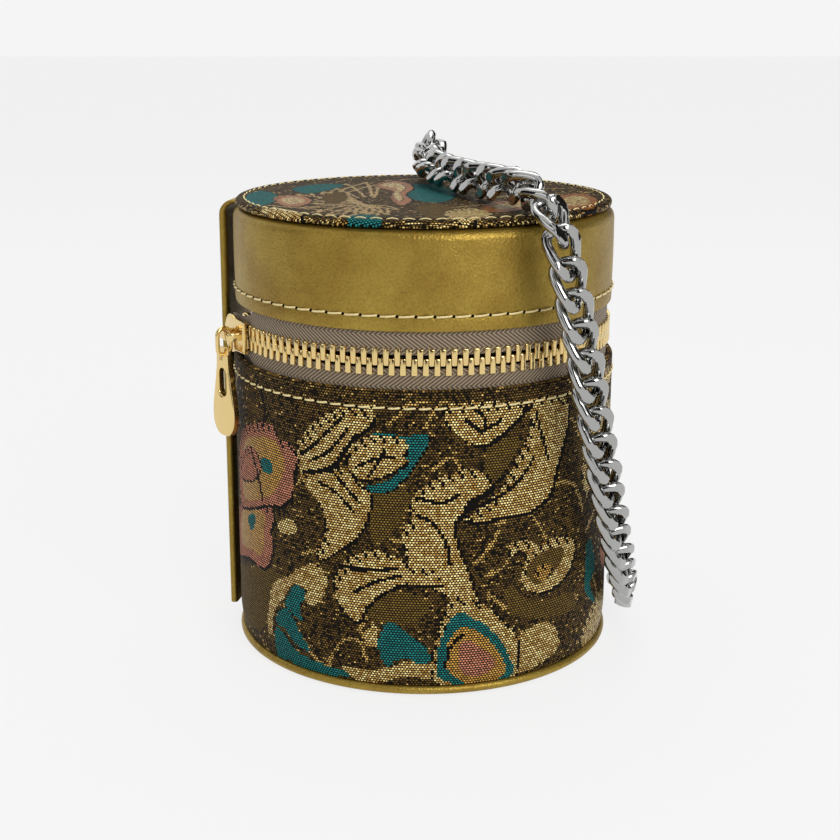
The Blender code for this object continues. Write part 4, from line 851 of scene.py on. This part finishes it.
# Top disc: a round board with a thin pad, covered with the brocade and stitched round its rim. The
# cloth rolls round the edge and is glued to the underside, where the hinge strip's end is tucked in.
DISC_TRACED = [
    ("teal", 0.3, [(50, 85), (80, 75), (110, 78), (130, 90), (110, 105), (75, 110), (55, 100)]),
    ("teal", 0.3, [(165, 72), (200, 62), (250, 58), (290, 62), (250, 75), (200, 82)]),
    ("teal", 0.4, [(440, 62), (500, 60), (560, 75), (560, 95), (520, 105), (470, 100), (430, 85)]),
    ("teal", 0.3, [(300, 140), (340, 132), (380, 138), (370, 152), (320, 155)]),
    ("teal", 0.3, [(700, 70), (740, 66), (770, 74), (740, 84), (706, 82)]),
    ("olive", 0, [(470, 118), (520, 108), (560, 118), (548, 136), (500, 140)]),
    ("olive", 0, [(240, 88), (280, 80), (300, 92), (280, 106), (250, 104)]),
    ("rust", 0.5, [(368, 62), (400, 52), (440, 55), (460, 70), (440, 85), (455, 100), (430, 112),
        (405, 95), (415, 78), (390, 72)]),
    ("gold", 0.2, [(380, 62), (405, 56), (432, 60), (444, 70), (425, 82), (436, 96), (424, 100),
        (414, 86), (424, 72), (400, 67)]),
    ("rust", 0.4, [(120, 90), (170, 86), (215, 98), (180, 113), (130, 108)]),
    ("gold", 0, [(138, 94), (168, 91), (196, 99), (172, 107), (142, 104)]),
    ("rust", 0.4, [(560, 50), (620, 47), (685, 60), (640, 69), (590, 66)]),
    ("rust", 0.4, [(630, 112), (700, 98), (765, 96), (768, 112), (704, 124), (645, 127)]),
    ("gold", 0, [(655, 113), (705, 104), (745, 102), (748, 109), (702, 117), (664, 120)]),
    ("rust", 0.4, [(815, 88), (866, 80), (912, 94), (904, 114), (850, 120), (812, 106)]),
    ("gold", 0, [(834, 92), (866, 87), (894, 96), (888, 107), (850, 111), (834, 104)]),
    ("gold", 0.4, [(540, 128), (600, 118), (655, 131), (605, 145), (552, 142)]),
    ("gold", 0.4, [(90, 112), (140, 118), (190, 130), (150, 134), (100, 126)]),
]
DISC_MOTIFS = [(kind, shadow, [on_disc("top", *point) for point in points])
               for kind, shadow, points in DISC_TRACED]
# The fan flower: lines from its foot to these tips, each doubled
FAN_FOOT = on_disc("top", 338, 108)
FAN_TIPS = [on_disc("top", *tip) for tip in [(176, 84), (166, 100), (184, 116), (212, 127), (246, 135),
        (284, 140), (322, 141), (360, 139), (396, 133), (424, 122), (206, 72), (252, 64), (300, 58),
        (344, 55), (372, 60)]]
DISC_LINES = []
for tip in FAN_TIPS:
    reach = Vector(tip) - Vector(FAN_FOOT)
    swing = 0.14 * Vector((-reach.y, reach.x))
    foot = Vector(FAN_FOOT)
    DISC_LINES.append(("bright", [FAN_FOOT, foot + 0.5 * reach + swing, tip]))
    DISC_LINES.append(("bright", [foot + 0.3 * reach - 0.3 * swing, foot + 0.7 * reach - 0.2 * swing,
                                  tip]))
DISC_LINES += [
    ("bright", [(4, -28), (16, -20), (30, -16), (40, -14)]),
    ("bright", [(8, -34), (20, -28), (34, -24)]),
    ("bright", [(12, -12), (22, -4), (36, 0), (43, 6)]),
    ("bright", [(14, 4), (24, 10), (36, 12)]),
    ("bright", [(16, 22), (26, 28), (34, 26)]),
    ("bright", [(-42, -6), (-34, -14), (-24, -20), (-10, -26)]),
    ("bright", [(-38, -20), (-26, -28), (-12, -34)]),
    ("bright", [(-10, 30), (2, 36), (14, 38)]),
]
disc_rows = [(0.6 * i, 113.12 - 0.26 * (0.6 * i / 45.0) ** 2) for i in range(76)]
disc_profile = disc_rows + arc(45.6, 111.9, 1.0, 78, -90, 9) + [(30.0, 110.9), (0.0, 110.9)]
disc = turned("lid_disc_brocade", disc_profile, 330)
mesh = disc.data
corner = np.array([v.co for v in mesh.vertices])
spread = np.hypot(corner[:, 0], corner[:, 1]) / MM
bearings = np.arctan2(corner[:, 0], -corner[:, 1])
over = corner[:, 2] > 0.1122
corner[:, 2] -= np.where(over, 0.2 * np.exp(-((spread - RIM_RADIUS) / 0.7) ** 2)
                         * (0.7 + 0.3 * np.cos(bearings * RIM_STITCHES)), 0.0) * MM
# Room for the strip's tucked end under the disc, between its board and the cloth
reach_out = corner @ np.array(outward(STRIP_BEARING))
reach_aside = np.abs(corner @ np.array(along(STRIP_BEARING)))
tucked = (~over) & (reach_out > 0.0398) & (reach_aside < 0.0112)
corner[tucked & (corner[:, 2] < 0.1121), 2] = 0.1121
mesh.vertices.foreach_set("co", corner.ravel())
centres = np.array([p.center for p in mesh.polygons]) / MM
thread = weave(centres[:, :2], DISC_MOTIFS, DISC_LINES, 11)
thread[(centres[:, 2] < 112.3) & (thread == 0)
       & (np.random.default_rng(3).random(len(thread)) < 0.45)] = THREADS["gold"]
index = np.empty(len(mesh.loops), int)
mesh.loops.foreach_get("vertex_index", index)
cells = np.stack([corner[index, 0] / (0.75 * MM),
                  corner[index, 1] / (0.6 * MM) + corner[index, 2] / (0.6 * MM)], axis=1)
dress_cloth(disc, thread, cells)
finish(disc, brocade, "brocade", "lid", "lid_top", angle=50)


# Hinge strip: a plain strip of the same leather that runs up the left side, bends over the edge of the
# lid and is tucked in under the top disc. It is the lid's hinge.
def swept(name, rings, closed=False):
    """Skin a row of rings of points; the ends are capped unless the row closes on itself."""
    points = np.array([[tuple(p) for p in ring] for ring in rings], float)
    count, sides = points.shape[:2]
    faces = []
    for i in range(count if closed else count - 1):
        for j in range(sides):
            a, b = i * sides, ((i + 1) % count) * sides
            k = (j + 1) % sides
            faces.append((a + j, a + k, b + k, b + j))
    if not closed:
        faces.append(tuple(range(sides)))
        faces.append(tuple(reversed(range((count - 1) * sides, count * sides))))
    mesh = bpy.data.meshes.new(name)
    mesh.from_pydata(points.reshape(-1, 3) * MM, [], faces)
    piece = bpy.data.objects.new(name, mesh)
    bpy.context.collection.objects.link(piece)
    deselect()
    piece.select_set(True)
    bpy.context.view_layer.objects.active = piece
    bpy.ops.object.mode_set(mode="EDIT")
    bpy.ops.mesh.select_all(action="SELECT")
    bpy.ops.mesh.normals_make_consistent(inside=False)
    bpy.ops.object.mode_set(mode="OBJECT")
    return piece


STRIP_HALF = 10.5
STRIP_THICK = 1.8
strip_way = []
for i in range(61):
    strip_way.append(((48.3, 4.5 + 1.705 * i), (1.0, 0.0), STRIP_THICK))
for i in range(1, 11):
    t = 0.5 * math.pi * i / 10
    thick = STRIP_THICK + (0.9 - STRIP_THICK) * i / 10
    strip_way.append(((46.1 + 4.0 * math.cos(t) - thick * math.cos(t),
                       107.8 + 4.0 * math.sin(t) - thick * math.sin(t)),
                      (math.cos(t), math.sin(t)), thick))
for i in range(1, 8):
    strip_way.append(((46.1 - 0.8 * i, 110.9), (0.0, 1.0), 0.9))
edge = [(-1.0, 0.5), (-0.985, 0.2), (-0.955, 0.04)] + [(-0.9 + 0.2 * i, 0.0) for i in range(10)]
edge += [(0.955, 0.04), (0.985, 0.2), (1.0, 0.5), (0.985, 0.8), (0.955, 0.96)]
edge += [(0.9 - 0.2 * i, 1.0) for i in range(10)] + [(-0.955, 0.96), (-0.985, 0.8)]
rings = []
for (radius, height), (out, rise), thick in strip_way:
    ring = []
    for side, depth in edge:
        place_in = radius + depth * thick * out
        ring.append(place_in * outward(STRIP_BEARING) + STRIP_HALF * side * along(STRIP_BEARING)
                    + Vector((0, 0, height + depth * thick * rise)))
    rings.append(ring)
strip = swept("hinge_strip_leather", rings)
finish(strip, gold_leather, "gold_leather", None, "hinge_strip", angle=50)
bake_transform(strip)


# Zip: herringbone cotton tape in taupe, with a corded edge that the teeth are crimped on. The lower tape
# is sewn inside the body's hem and the upper one inside the lid's band; both run off as a straight tail.
TAPE_RADIUS = 46.05
ZIP_HEIGHT = 80.8
ZIP_START = -62.0
SLIDER_PLACE = -7.5
ZIP_LENGTH = math.radians(312.0) * TAPE_RADIUS
TOOTH_PITCH = 2.54
TOOTH_ROOT = 2.9


def on_zip(distance):
    """Point and outward direction on the zip, in mm; negative distances lie on the tail."""
    if distance < 0:
        return TAPE_RADIUS * outward(ZIP_START) + distance * along(ZIP_START), outward(ZIP_START)
    direction = outward(ZIP_START + math.degrees(distance / TAPE_RADIUS))
    return TAPE_RADIUS * direction, direction


def zip_matrix(distance):
    """Place on the zip: X runs along it, Y up and Z outwards."""
    point, direction = on_zip(distance)
    return set_at(Vector((0, 0, 1)).cross(direction), Vector((0, 0, 1)), direction,
                  point + Vector((0, 0, ZIP_HEIGHT)))


zip_tape, tree, shader = new_material("herringbone_tape")
chart = add(tree, "ShaderNodeUVMap", {}, uv_map="tape").outputs[0]
parts = add(tree, "ShaderNodeSeparateXYZ", {0: chart})
# Ribs 1.15 mm apart that turn over every 3 mm of the tape's width
zigzag = calc(tree, "PINGPONG", parts.outputs["Y"], 3.0)
lean = calc(tree, "MULTIPLY_ADD", zigzag.outputs[0], 1.3, parts.outputs["X"])
ribs = calc(tree, "MULTIPLY", lean.outputs[0], math.tau / 1.15)
wave = calc(tree, "SINE", ribs.outputs[0])
rise = ramp(tree, wave.outputs[0], -1.0, 0.9, 0.0, 1.0)
fuzz = add(tree, "ShaderNodeTexNoise", {"Vector": chart, "Scale": 5.0, "Detail": 3.0, "Roughness": 0.7})
yarn = colour_mix(tree, fuzz.outputs["Fac"], linear("7C6A50"), linear("A6927A"))
# Painted shade: the grooves between the ribs are painted dark brown
tone = colour_mix(tree, rise.outputs[0], linear("3E3428"), yarn.outputs[2])
bump = add(tree, "ShaderNodeBump", {"Strength": 0.6, "Distance": 0.00022, "Height": rise.outputs[0]})
tree.links.new(tone.outputs[2], shader.inputs["Base Color"])
tree.links.new(bump.outputs[0], shader.inputs["Normal"])
shader.inputs["Roughness"].default_value = 0.85
shader.inputs["Sheen Weight"].default_value = 0.15

brass, tree, shader = new_material("polished_light_gold")
place = add(tree, "ShaderNodeTexCoord", {}).outputs["Object"]
smear = add(tree, "ShaderNodeTexNoise", {"Vector": place, "Scale": 260.0, "Detail": 2.0})
rough = ramp(tree, smear.outputs["Fac"], 0.3, 0.7, 0.13, 0.24)
tree.links.new(rough.outputs[0], shader.inputs["Roughness"])
shader.inputs["Base Color"].default_value = linear("E6CB8C")
shader.inputs["Metallic"].default_value = 1.0

stop_at = ZIP_LENGTH - 7.5
steps = [-13.0 + 1.0 * i for i in range(13)] + [ZIP_LENGTH * i / 250 for i in range(251)]
teeth_run = int((stop_at - 1.5 + 4.0 - 0.5) / TOOTH_PITCH + 0.25)
for label, side, sewn, tail, body in (("lower", -1, 68.0, 74.5, "bag"), ("upper", 1, 94.3, 87.1, "lid")):
    rings = []
    chart_rows = []
    for distance in steps:
        point, direction = on_zip(distance)
        # The tail narrows to the slider's height, folded in behind it
        fold = min(1.0, max(0.0, -distance / 6.0))
        far = (tail + fold * (ZIP_HEIGHT + side * 4.3 - tail)) if distance < 0 else sewn
        close = ZIP_HEIGHT + side * (TOOTH_ROOT - 0.45)
        section = [(0.25, close + (far - close) * i / 8) for i in range(9)]
        section += [(-0.25, far + (close - far) * i / 8) for i in range(9)]
        # The cord under the teeth's roots: a round bead 1.1 mm across
        section += [(0.55 * math.sin(math.radians(a)),
                     close - side * (0.35 + 0.55 * math.cos(math.radians(a))))
                    for a in range(-135, 136, 45)]
        rings.append([point + out * direction + Vector((0, 0, z)) for out, z in section])
        chart_rows.append([(distance, z + 2.0 * (out < 0)) for out, z in section])
    tape = swept("zip_tape_%s_cloth" % label, rings)
    chart_rows = np.array(chart_rows).reshape(-1, 2)
    layer = tape.data.uv_layers.new(name="tape")
    index = np.empty(len(tape.data.loops), int)
    tape.data.loops.foreach_get("vertex_index", index)
    layer.data.foreach_set("uv", chart_rows[index].astype(np.float32).ravel())
    finish(tape, zip_tape, "zip_tape", body, "zip_tape_" + label, angle=50)

    # One tooth: a stamped leg with rounded edges, wider where it grips the cord
    deselect()
    bpy.ops.mesh.primitive_cube_add(size=1.0)
    tooth = bpy.context.object
    for vertex in tooth.data.vertices:
        root = vertex.co.y > 0
        vertex.co.x *= (1.55 if root else 1.25) * MM
        vertex.co.z *= (2.1 if root else 1.9) * MM
        vertex.co.y = (3.1 if root else -0.9) * MM
    bevel = tooth.modifiers.new("edges", "BEVEL")
    bevel.width = 0.36 * MM
    bevel.segments = 2
    bpy.ops.object.modifier_apply(modifier="edges")
    flip = Matrix.Diagonal((1.0, side, 1.0, 1.0))
    spots = [zip_matrix(-4.0 + (i + 0.5) * TOOTH_PITCH
                        + 0.25 * side * TOOTH_PITCH) @ flip for i in range(teeth_run)]
    teeth = repeated("zip_teeth_%s_metal" % label, tooth, spots)
    if side < 0:
        teeth.data.flip_normals()
    finish(teeth, brass, "gold_brass", body, "zip_teeth_" + label, angle=40)

deselect()
bpy.ops.mesh.primitive_cube_add(size=1.0)
stop = bpy.context.object
stop.name = "zip_end_stop_metal"
for vertex in stop.data.vertices:
    vertex.co.x *= 2.4 * MM
    vertex.co.y *= 5.2 * MM
    vertex.co.z *= 2.1 * MM
bevel = stop.modifiers.new("edges", "BEVEL")
bevel.width = 0.45 * MM
bevel.segments = 3
bpy.ops.object.modifier_apply(modifier="edges")
stop.data.transform(zip_matrix(stop_at))
finish(stop, brass, "gold_brass", "bag", "zip_end_stop")


# Slider: a die-cast body, polished and plated light gold. Two shield-shaped plates are held apart by the
# wedge that parts the teeth, with side flanges over the tapes and a strap bridge that carries the link.
def plate(name, outlines, low, high, rounding):
    """A flat plate with rounded edges from closed outlines in mm; outlines after the first are holes."""
    deselect()
    drawing = bpy.data.curves.new(name, "CURVE")
    drawing.dimensions = "2D"
    drawing.fill_mode = "BOTH"
    for outline in outlines:
        spline = drawing.splines.new("POLY")
        spline.points.add(len(outline) - 1)
        for point, (x, y) in zip(spline.points, outline):
            point.co = (x * MM, y * MM, 0.0, 1.0)
        spline.use_cyclic_u = True
    drawing.bevel_depth = rounding * MM
    drawing.bevel_resolution = 3
    drawing.offset = -rounding * MM
    drawing.extrude = (0.5 * (high - low) - rounding) * MM
    piece = bpy.data.objects.new(name, drawing)
    bpy.context.collection.objects.link(piece)
    piece.select_set(True)
    bpy.context.view_layer.objects.active = piece
    bpy.ops.object.convert(target="MESH")
    piece = bpy.context.object
    piece.data.transform(Matrix.Translation((0, 0, 0.5 * (low + high) * MM)))
    bpy.ops.object.mode_set(mode="EDIT")
    bpy.ops.mesh.select_all(action="SELECT")
    bpy.ops.mesh.remove_doubles(threshold=0.000003)
    bpy.ops.mesh.normals_make_consistent(inside=False)
    bpy.ops.object.mode_set(mode="OBJECT")
    return piece


def joined(name, pieces):
    deselect()
    for piece in pieces:
        piece.select_set(True)
    bpy.context.view_layer.objects.active = pieces[0]
    bpy.ops.object.join()
    pieces[0].name = name
    return pieces[0]


shield = [(6.0, 3.3), (5.6, 3.7), (4.4, 3.9), (2.0, 3.95), (0.4, 4.15), (-1.2, 4.65), (-2.4, 4.7),
          (-3.7, 4.4),
          (-4.8, 3.4), (-5.5, 2.2), (-5.9, 1.1)]
shield = smooth_outline(shield + [(a, -b) for a, b in reversed(shield)], steps=4)
slider_parts = [plate("slider_front", [shield], 1.45, 2.55, 0.42),
                plate("slider_back", [shield], -2.55, -1.45, 0.42)]
wedge = smooth_outline([(-5.1, 0.0), (-4.6, 1.2), (-3.6, 1.4), (-0.4, 0.0), (-3.6, -1.4), (-4.6, -1.2)],
                       steps=4)
slider_parts.append(plate("slider_wedge", [wedge], -2.1, 2.1, 0.1))
for side in (1, -1):
    for low, high in ((0.55, 2.3), (-2.3, -0.55)):
        lip = [(0.4, side * 3.2), (5.6, side * 3.2), (5.6, side * 3.75), (0.4, side * 3.75)]
        slider_parts.append(plate("slider_lip", [lip], low, high, 0.12))
bridge_way = [(-3.25, 2.0)] + [(-3.25 + 1.0 - 1.0 * math.cos(t), 4.1 + 1.0 * math.sin(t))
                               for t in np.linspace(0, math.pi / 2, 7)]
bridge_way += [(-a, b) for a, b in reversed(bridge_way)]
rings = []
for i, (a, b) in enumerate(bridge_way):
    before = Vector(bridge_way[max(i - 1, 0)])
    after = Vector(bridge_way[min(i + 1, len(bridge_way) - 1)])
    heading = (after - before).normalized()
    rings.append([(a - heading.y * 0.45 * math.copysign(abs(math.sin(t)) ** 0.5, math.sin(t)),
                   1.0 * math.copysign(abs(math.cos(t)) ** 0.5, math.cos(t)),
                   b + heading.x * 0.45 * math.copysign(abs(math.sin(t)) ** 0.5, math.sin(t)))
                  for t in np.linspace(0, math.tau, 16, endpoint=False)])
slider_parts.append(swept("slider_bridge", rings))
slider = joined("zip_slider_body", slider_parts)
slider.data.transform(zip_matrix(SLIDER_PLACE))
finish(slider, brass, "gold_brass", "slider", "zip_slider")


# Pull: an oval wire link through the bridge, and a drop-shaped tab with a small eye and a long slot,
# plated like the slider, its edges polished round.
PULL_BEARING = -50.0
pull_across = along(PULL_BEARING)
pull_out = outward(PULL_BEARING)
slider_point, slider_direction = on_zip(SLIDER_PLACE)
bridge_middle = slider_point + 5.1 * slider_direction + Vector((0, 0, ZIP_HEIGHT))
rings = []
for start, drop in ((0.0, 0.0), (math.pi, -3.2)):
    for i in range(13):
        t = start + math.pi * i / 12
        hub = bridge_middle + 1.85 * math.cos(t) * pull_out + Vector((0, 0, drop + 1.85 * math.sin(t)))
        away = math.cos(t) * pull_out + math.sin(t) * Vector((0, 0, 1))
        rings.append([hub + 0.55 * (math.cos(s) * away + math.sin(s) * pull_across)
                      for s in np.linspace(0, math.tau, 12, endpoint=False)])
pull_link = swept("pull_link_wire", rings, closed=True)
finish(pull_link, brass, "gold_brass", "pull_link", "pull_link", angle=60)

drop_side = [(1.7, 0.75), (2.2, 0.3), (2.3, -1.6), (2.45, -4.0), (3.0, -7.2), (3.8, -11.0), (4.4, -14.2),
             (4.5, -16.6),
             (4.1, -18.9), (2.9, -20.7), (1.3, -21.5)]
drop = smooth_outline(drop_side + [(-a, b) for a, b in reversed(drop_side)], steps=4)
eye = smooth_outline([(1.2, -0.7), (1.2, -2.9), (-1.2, -2.9), (-1.2, -0.7)], steps=1)
slot = [(1.7 * math.cos(t), (-6.15 if math.sin(t) >= 0 else -9.75) + 1.7 * math.sin(t))
        for t in np.linspace(0, math.tau, 32, endpoint=False)]
lower = [(a, b) for a, b in drop if b < -0.85]
tab = joined("pull_tab_metal", [plate("tab_face", [[(2.3, -0.85), *lower, (-2.3, -0.85)], eye, slot],
                                      -1.0, 1.0, 0.5),
                                plate("tab_bar", [drop, eye, slot], -0.5, 0.5, 0.2)])
tab.data.transform(set_at(pull_across, Vector((0, 0, 1)), -pull_out,
                          bridge_middle - Vector((0, 0, 3.65))))
finish(tab, brass, "gold_brass", "pull_tab", "pull_tab")


# Ring for the chain: a leather loop sewn on the back of the lid holds the bar of a D-shaped steel ring.
RING_BEARING = 174.0
RING_BAR = 49.8
RING_HEIGHT = 99.0
loop_way = [(48.1, 91.2 + 0.78 * i) for i in range(10)]
loop_way += [(RING_BAR - 1.7 * math.cos(t), RING_HEIGHT
              + 1.7 * math.sin(t)) for t in np.linspace(0.1, math.pi, 14)]
loop_way += [(51.45 - 0.29 * i, 98.0 - 0.95 * i) for i in range(1, 8)]
rings = []
for i, (radius, height) in enumerate(loop_way):
    before = Vector(loop_way[max(i - 1, 0)])
    after = Vector(loop_way[min(i + 1, len(loop_way) - 1)])
    heading = (after - before).normalized()
    ring = []
    for side, depth in edge:
        off = 0.9 * (depth - 0.5)
        ring.append((radius - heading.y * off) * outward(RING_BEARING) + 4.0 * side * along(RING_BEARING)
                    + Vector((0, 0, height + heading.x * off)))
    rings.append(ring)
loop = swept("ring_tab_leather", rings)
finish(loop, gold_leather, "gold_leather", "lid", "ring_tab", angle=50)
loop_stitches = repeated("ring_tab_stitches", one_stitch(1.9, 0.45),
                         [on_wall(RING_BEARING + d, 50.1, 93.4) for d in (-2.9, 0.0, 2.9)])
finish(loop_stitches, cream_thread, "gold_leather", "lid", angle=60)

steel, tree, shader = new_material("polished_nickel_steel")
place = add(tree, "ShaderNodeTexCoord", {}).outputs["Object"]
smear = add(tree, "ShaderNodeTexNoise", {"Vector": place, "Scale": 300.0, "Detail": 3.0})
rough = ramp(tree, smear.outputs["Fac"], 0.3, 0.7, 0.06, 0.15)
tree.links.new(rough.outputs[0], shader.inputs["Roughness"])
shader.inputs["Base Color"].default_value = linear("ACACAA")
shader.inputs["Metallic"].default_value = 1.0


def on_ring(a, b, depth=0.0):
    """A point on the ring: along its bar, up its plane and out of that plane."""
    tilt = math.radians(55.0)
    out = outward(RING_BEARING)
    up = Vector((0, 0, 1))
    hub = RING_BAR * out + Vector((0, 0, RING_HEIGHT))
    return (hub + a * along(RING_BEARING) + b * (math.cos(tilt) * up + math.sin(tilt) * out)
            + depth * (math.cos(tilt) * out - math.sin(tilt) * up))


def on_bow(t):
    return 6.6 * math.cos(t), 0.66 + 7.54 * math.sin(t)


ring_way = [(-6.0 + i, 0.0) for i in range(13)] + [(6.45, 0.2)]
ring_way += [on_bow(t) for t in np.linspace(0.05, math.pi - 0.05, 34)]
ring_way += [(-6.45, 0.2)]
rings = []
for i, (a, b) in enumerate(ring_way):
    heading = (Vector(ring_way[(i + 1) % len(ring_way)]) - Vector(ring_way[i - 1])).normalized()
    rings.append([on_ring(a - 0.9 * math.cos(s) * heading.y, b + 0.9 * math.cos(s) * heading.x,
                          0.9 * math.sin(s))
                  for s in np.linspace(0, math.tau, 16, endpoint=False)])
ring = swept("chain_ring_steel", rings, closed=True)
finish(ring, steel, "nickel_steel", "lid", "chain_ring", angle=60)


# Chain handle: a heavy curb chain of polished nickel steel. Each link is an oval of round wire, twisted
# so that it lies flat on its neighbours, then ground flat where it stands highest on both faces.
# Sizes of a link in mm: the wire's radius and how far from its middle plane it is ground flat come last
LINK_LONG = 10.8
LINK_PITCH = 7.2
SHOWN_WIRE = 1.24
GROUND_TO = 2.2
LINK_WIDE = 6.4
LINK_TWIST = -1.8
BOW_SEAT = 66.0
UPPER_HEADING = Vector((-0.05, -0.40, 0.915)).normalized()
UPPER_FACE = Vector((0.98, 0.17, 0.00))
LOWER_HEADING = Vector((-0.15, -0.25, 0.95)).normalized()
LOWER_FACE = Vector((0.97, 0.26, 0.00))
# Place of the chain's middle line in mm, then the way its flat side faces
CHAIN_ROUTE = [
    ((2.9, 52.2, 111.2), (0.96, 0.27, 0.01)),
    ((2.7, 47.2, 119.4), (0.73, 0.50, 0.45)),
    ((2.4, 41.3, 120.1), (0.08, 0.10, 0.98)),
    ((1.6, 32.3, 119.0), (-0.49, -0.10, 0.86)),
    ((2.2, 19.3, 118.4), (-0.76, -0.20, 0.58)),
    ((6.4, 4.0, 118.0), (-0.88, -0.36, 0.20)),
    ((12.0, -11.0, 118.0), (-0.88, -0.42, 0.00)),
    ((17.5, -24.0, 118.3), (-0.86, -0.42, -0.20)),
    ((22.5, -34.5, 118.2), (-0.76, -0.20, -0.55)),
    ((27.2, -43.4, 114.6), (-0.60, 0.35, -0.60)),
    ((30.0, -46.9, 107.2), (-0.50, 0.85, -0.10)),
    ((32.5, -46.9, 96.6), (-0.44, 0.90, 0.00)),
    ((35.9, -45.4, 81.8), (-0.44, 0.90, 0.00)),
    ((38.9, -42.8, 67.1), (-0.46, 0.89, 0.00)),
    ((42.2, -38.9, 52.2), (-0.52, 0.85, 0.00)),
    ((45.8, -32.4, 37.0), (-0.62, 0.78, 0.00)),
    ((49.7, -22.9, 22.0), (-0.78, 0.62, 0.00)),
    ((52.6, -11.0, 12.0), (-0.91, 0.36, 0.12)),
    ((53.4, 3.0, 9.0), (-0.99, -0.01, 0.14)),
    ((51.9, 16.9, 13.5), (-0.95, -0.31, 0.00)),
    ((47.0, 30.5, 24.5), (-0.84, -0.54, 0.00)),
    ((39.9, 41.3, 39.0), (-0.58, -0.80, 0.11)),
    ((31.1, 49.9, 56.0), (-0.10, -0.96, 0.27)),
    ((22.1, 54.9, 73.0), (0.43, -0.81, 0.40)),
    ((14.7, 57.0, 88.0), (0.62, -0.58, 0.52)),
]


def square_to(face, heading):
    return (face - face.dot(heading) * heading).normalized()


def chain_places():
    """Middle, direction and facing of each link, one pitch apart from end link to end link."""
    hold = 0.5 * (LINK_LONG - 1.12 * 2.05 - 1.8) - 0.3
    upper_seat = on_ring(*on_bow(math.radians(BOW_SEAT)))
    lower_seat = on_ring(*on_bow(math.radians(180 - BOW_SEAT)))
    upper = (upper_seat + hold * UPPER_HEADING, UPPER_HEADING, square_to(UPPER_FACE, UPPER_HEADING))
    lower = (lower_seat - hold * LOWER_HEADING, LOWER_HEADING, square_to(LOWER_FACE, LOWER_HEADING))
    stops = [(upper[0], upper[2])] + [(Vector(p), Vector(f)) for p,
                                      f in CHAIN_ROUTE] + [(lower[0], lower[2])]
    samples = []
    for i in range(len(stops) - 1):
        p0, p1, p2, p3 = (stops[k][0] for k in (max(i - 1, 0), i, i + 1, min(i + 2, len(stops) - 1)))
        for k in range(40):
            t = k / 40
            samples.append(((-0.5 * t ** 3 + t ** 2 - 0.5 * t) * p0
                            + (1.5 * t ** 3 - 2.5 * t ** 2 + 1) * p1
                            + (-1.5 * t ** 3 + 2 * t ** 2 + 0.5 * t) * p2
                            + (0.5 * t ** 3 - 0.5 * t ** 2) * p3,
                            stops[i][1].lerp(stops[i + 1][1], t)))
    samples.append(stops[-1])
    lengths = [0.0]
    for (a, _), (b, _) in zip(samples, samples[1:]):
        lengths.append(lengths[-1] + (b - a).length)
    count = int(round(lengths[-1] / LINK_PITCH))
    count += 1 - count % 2
    places = [upper]
    for number in range(1, count):
        wanted = number * lengths[-1] / count
        k = min(max(i for i, length in enumerate(lengths) if length <= wanted), len(samples) - 2)
        share = (wanted - lengths[k]) / max(lengths[k + 1] - lengths[k], 1e-9)
        heading = (samples[min(k + 12, len(samples) - 1)][0] - samples[max(k - 12, 0)][0]).normalized()
        places.append((samples[k][0].lerp(samples[k + 1][0], share), heading,
                       square_to(samples[k][1], heading)))
    return places + [lower]


def link_rings(place, steps, sides, wire, grind):
    """The rings of one link's wire; grind is how far from its middle plane it is ground flat."""
    middle, heading, face = place
    across = face.cross(heading)
    centres = []
    for i in range(steps):
        t = math.tau * (i + 0.5) / steps
        centres.append(Vector((0.5 * LINK_LONG * math.copysign(abs(math.cos(t)) ** 0.82, math.cos(t)),
                               0.5 * LINK_WIDE * math.copysign(abs(math.sin(t)) ** 0.82, math.sin(t)),
                               LINK_TWIST * math.sin(2 * t))))
    rings = []
    for i, here in enumerate(centres):
        tangent = (centres[(i + 1) % steps] - centres[i - 1]).normalized()
        side = tangent.cross(Vector((0, 0, 1))).normalized()
        up = side.cross(tangent)
        ring = []
        for j in range(sides):
            s = math.tau * (j + 0.5) / sides
            local = here + wire * (math.cos(s) * side + math.sin(s) * up)
            local.z = max(-grind, min(grind, local.z))
            ring.append(middle + local.x * heading + local.y * across + local.z * face)
        rings.append(ring)
    return rings


def bare_link(place):
    """The plain link that decides how far the second link of a pair turns."""
    rings = link_rings(place, 10, 4, 1.148, 9.0)
    tree = []
    for i in range(10):
        for j in range(4):
            tree.append((i * 4 + j, i * 4 + (j + 1) % 4, (i + 1) % 10 * 4 + (j + 1) % 4,
                         (i + 1) % 10 * 4 + j))
    return BVHTree.FromPolygons([p for ring in rings for p in ring], tree)


def seated(first, second):
    """Turn the second link of a pair about its own length until it bears on the first."""
    middle, heading, face = second
    across = face.cross(heading)
    still = bare_link(first)
    for step in range(45):
        t = math.radians(step)
        if still.overlap(bare_link((middle, heading, math.cos(t) * face + math.sin(t) * across))):
            t += math.radians(2.0)
            break
    return middle, heading, math.cos(t) * face + math.sin(t) * across


links = chain_places()
groups = [("chain_end_upper", [links[0]]), ("chain_end_lower", [links[-1]])]
for pair in range((len(links) - 2) // 2):
    one = links[1 + 2 * pair]
    groups.append(("chain_links_%02d" % (pair + 1), [one, seated(one, links[2 + 2 * pair])]))
for node_name, pair in groups:
    rings_of = [swept("curb_link", link_rings(place, 48, 16, SHOWN_WIRE, GROUND_TO),
                      closed=True) for place in pair]
    curb = joined(node_name.replace("chain", "curb"), rings_of) if len(pair) > 1 else rings_of[0]
    curb.name = node_name.replace("chain", "curb")
    finish(curb, steel, "nickel_steel", "lid", node_name, angle=28)
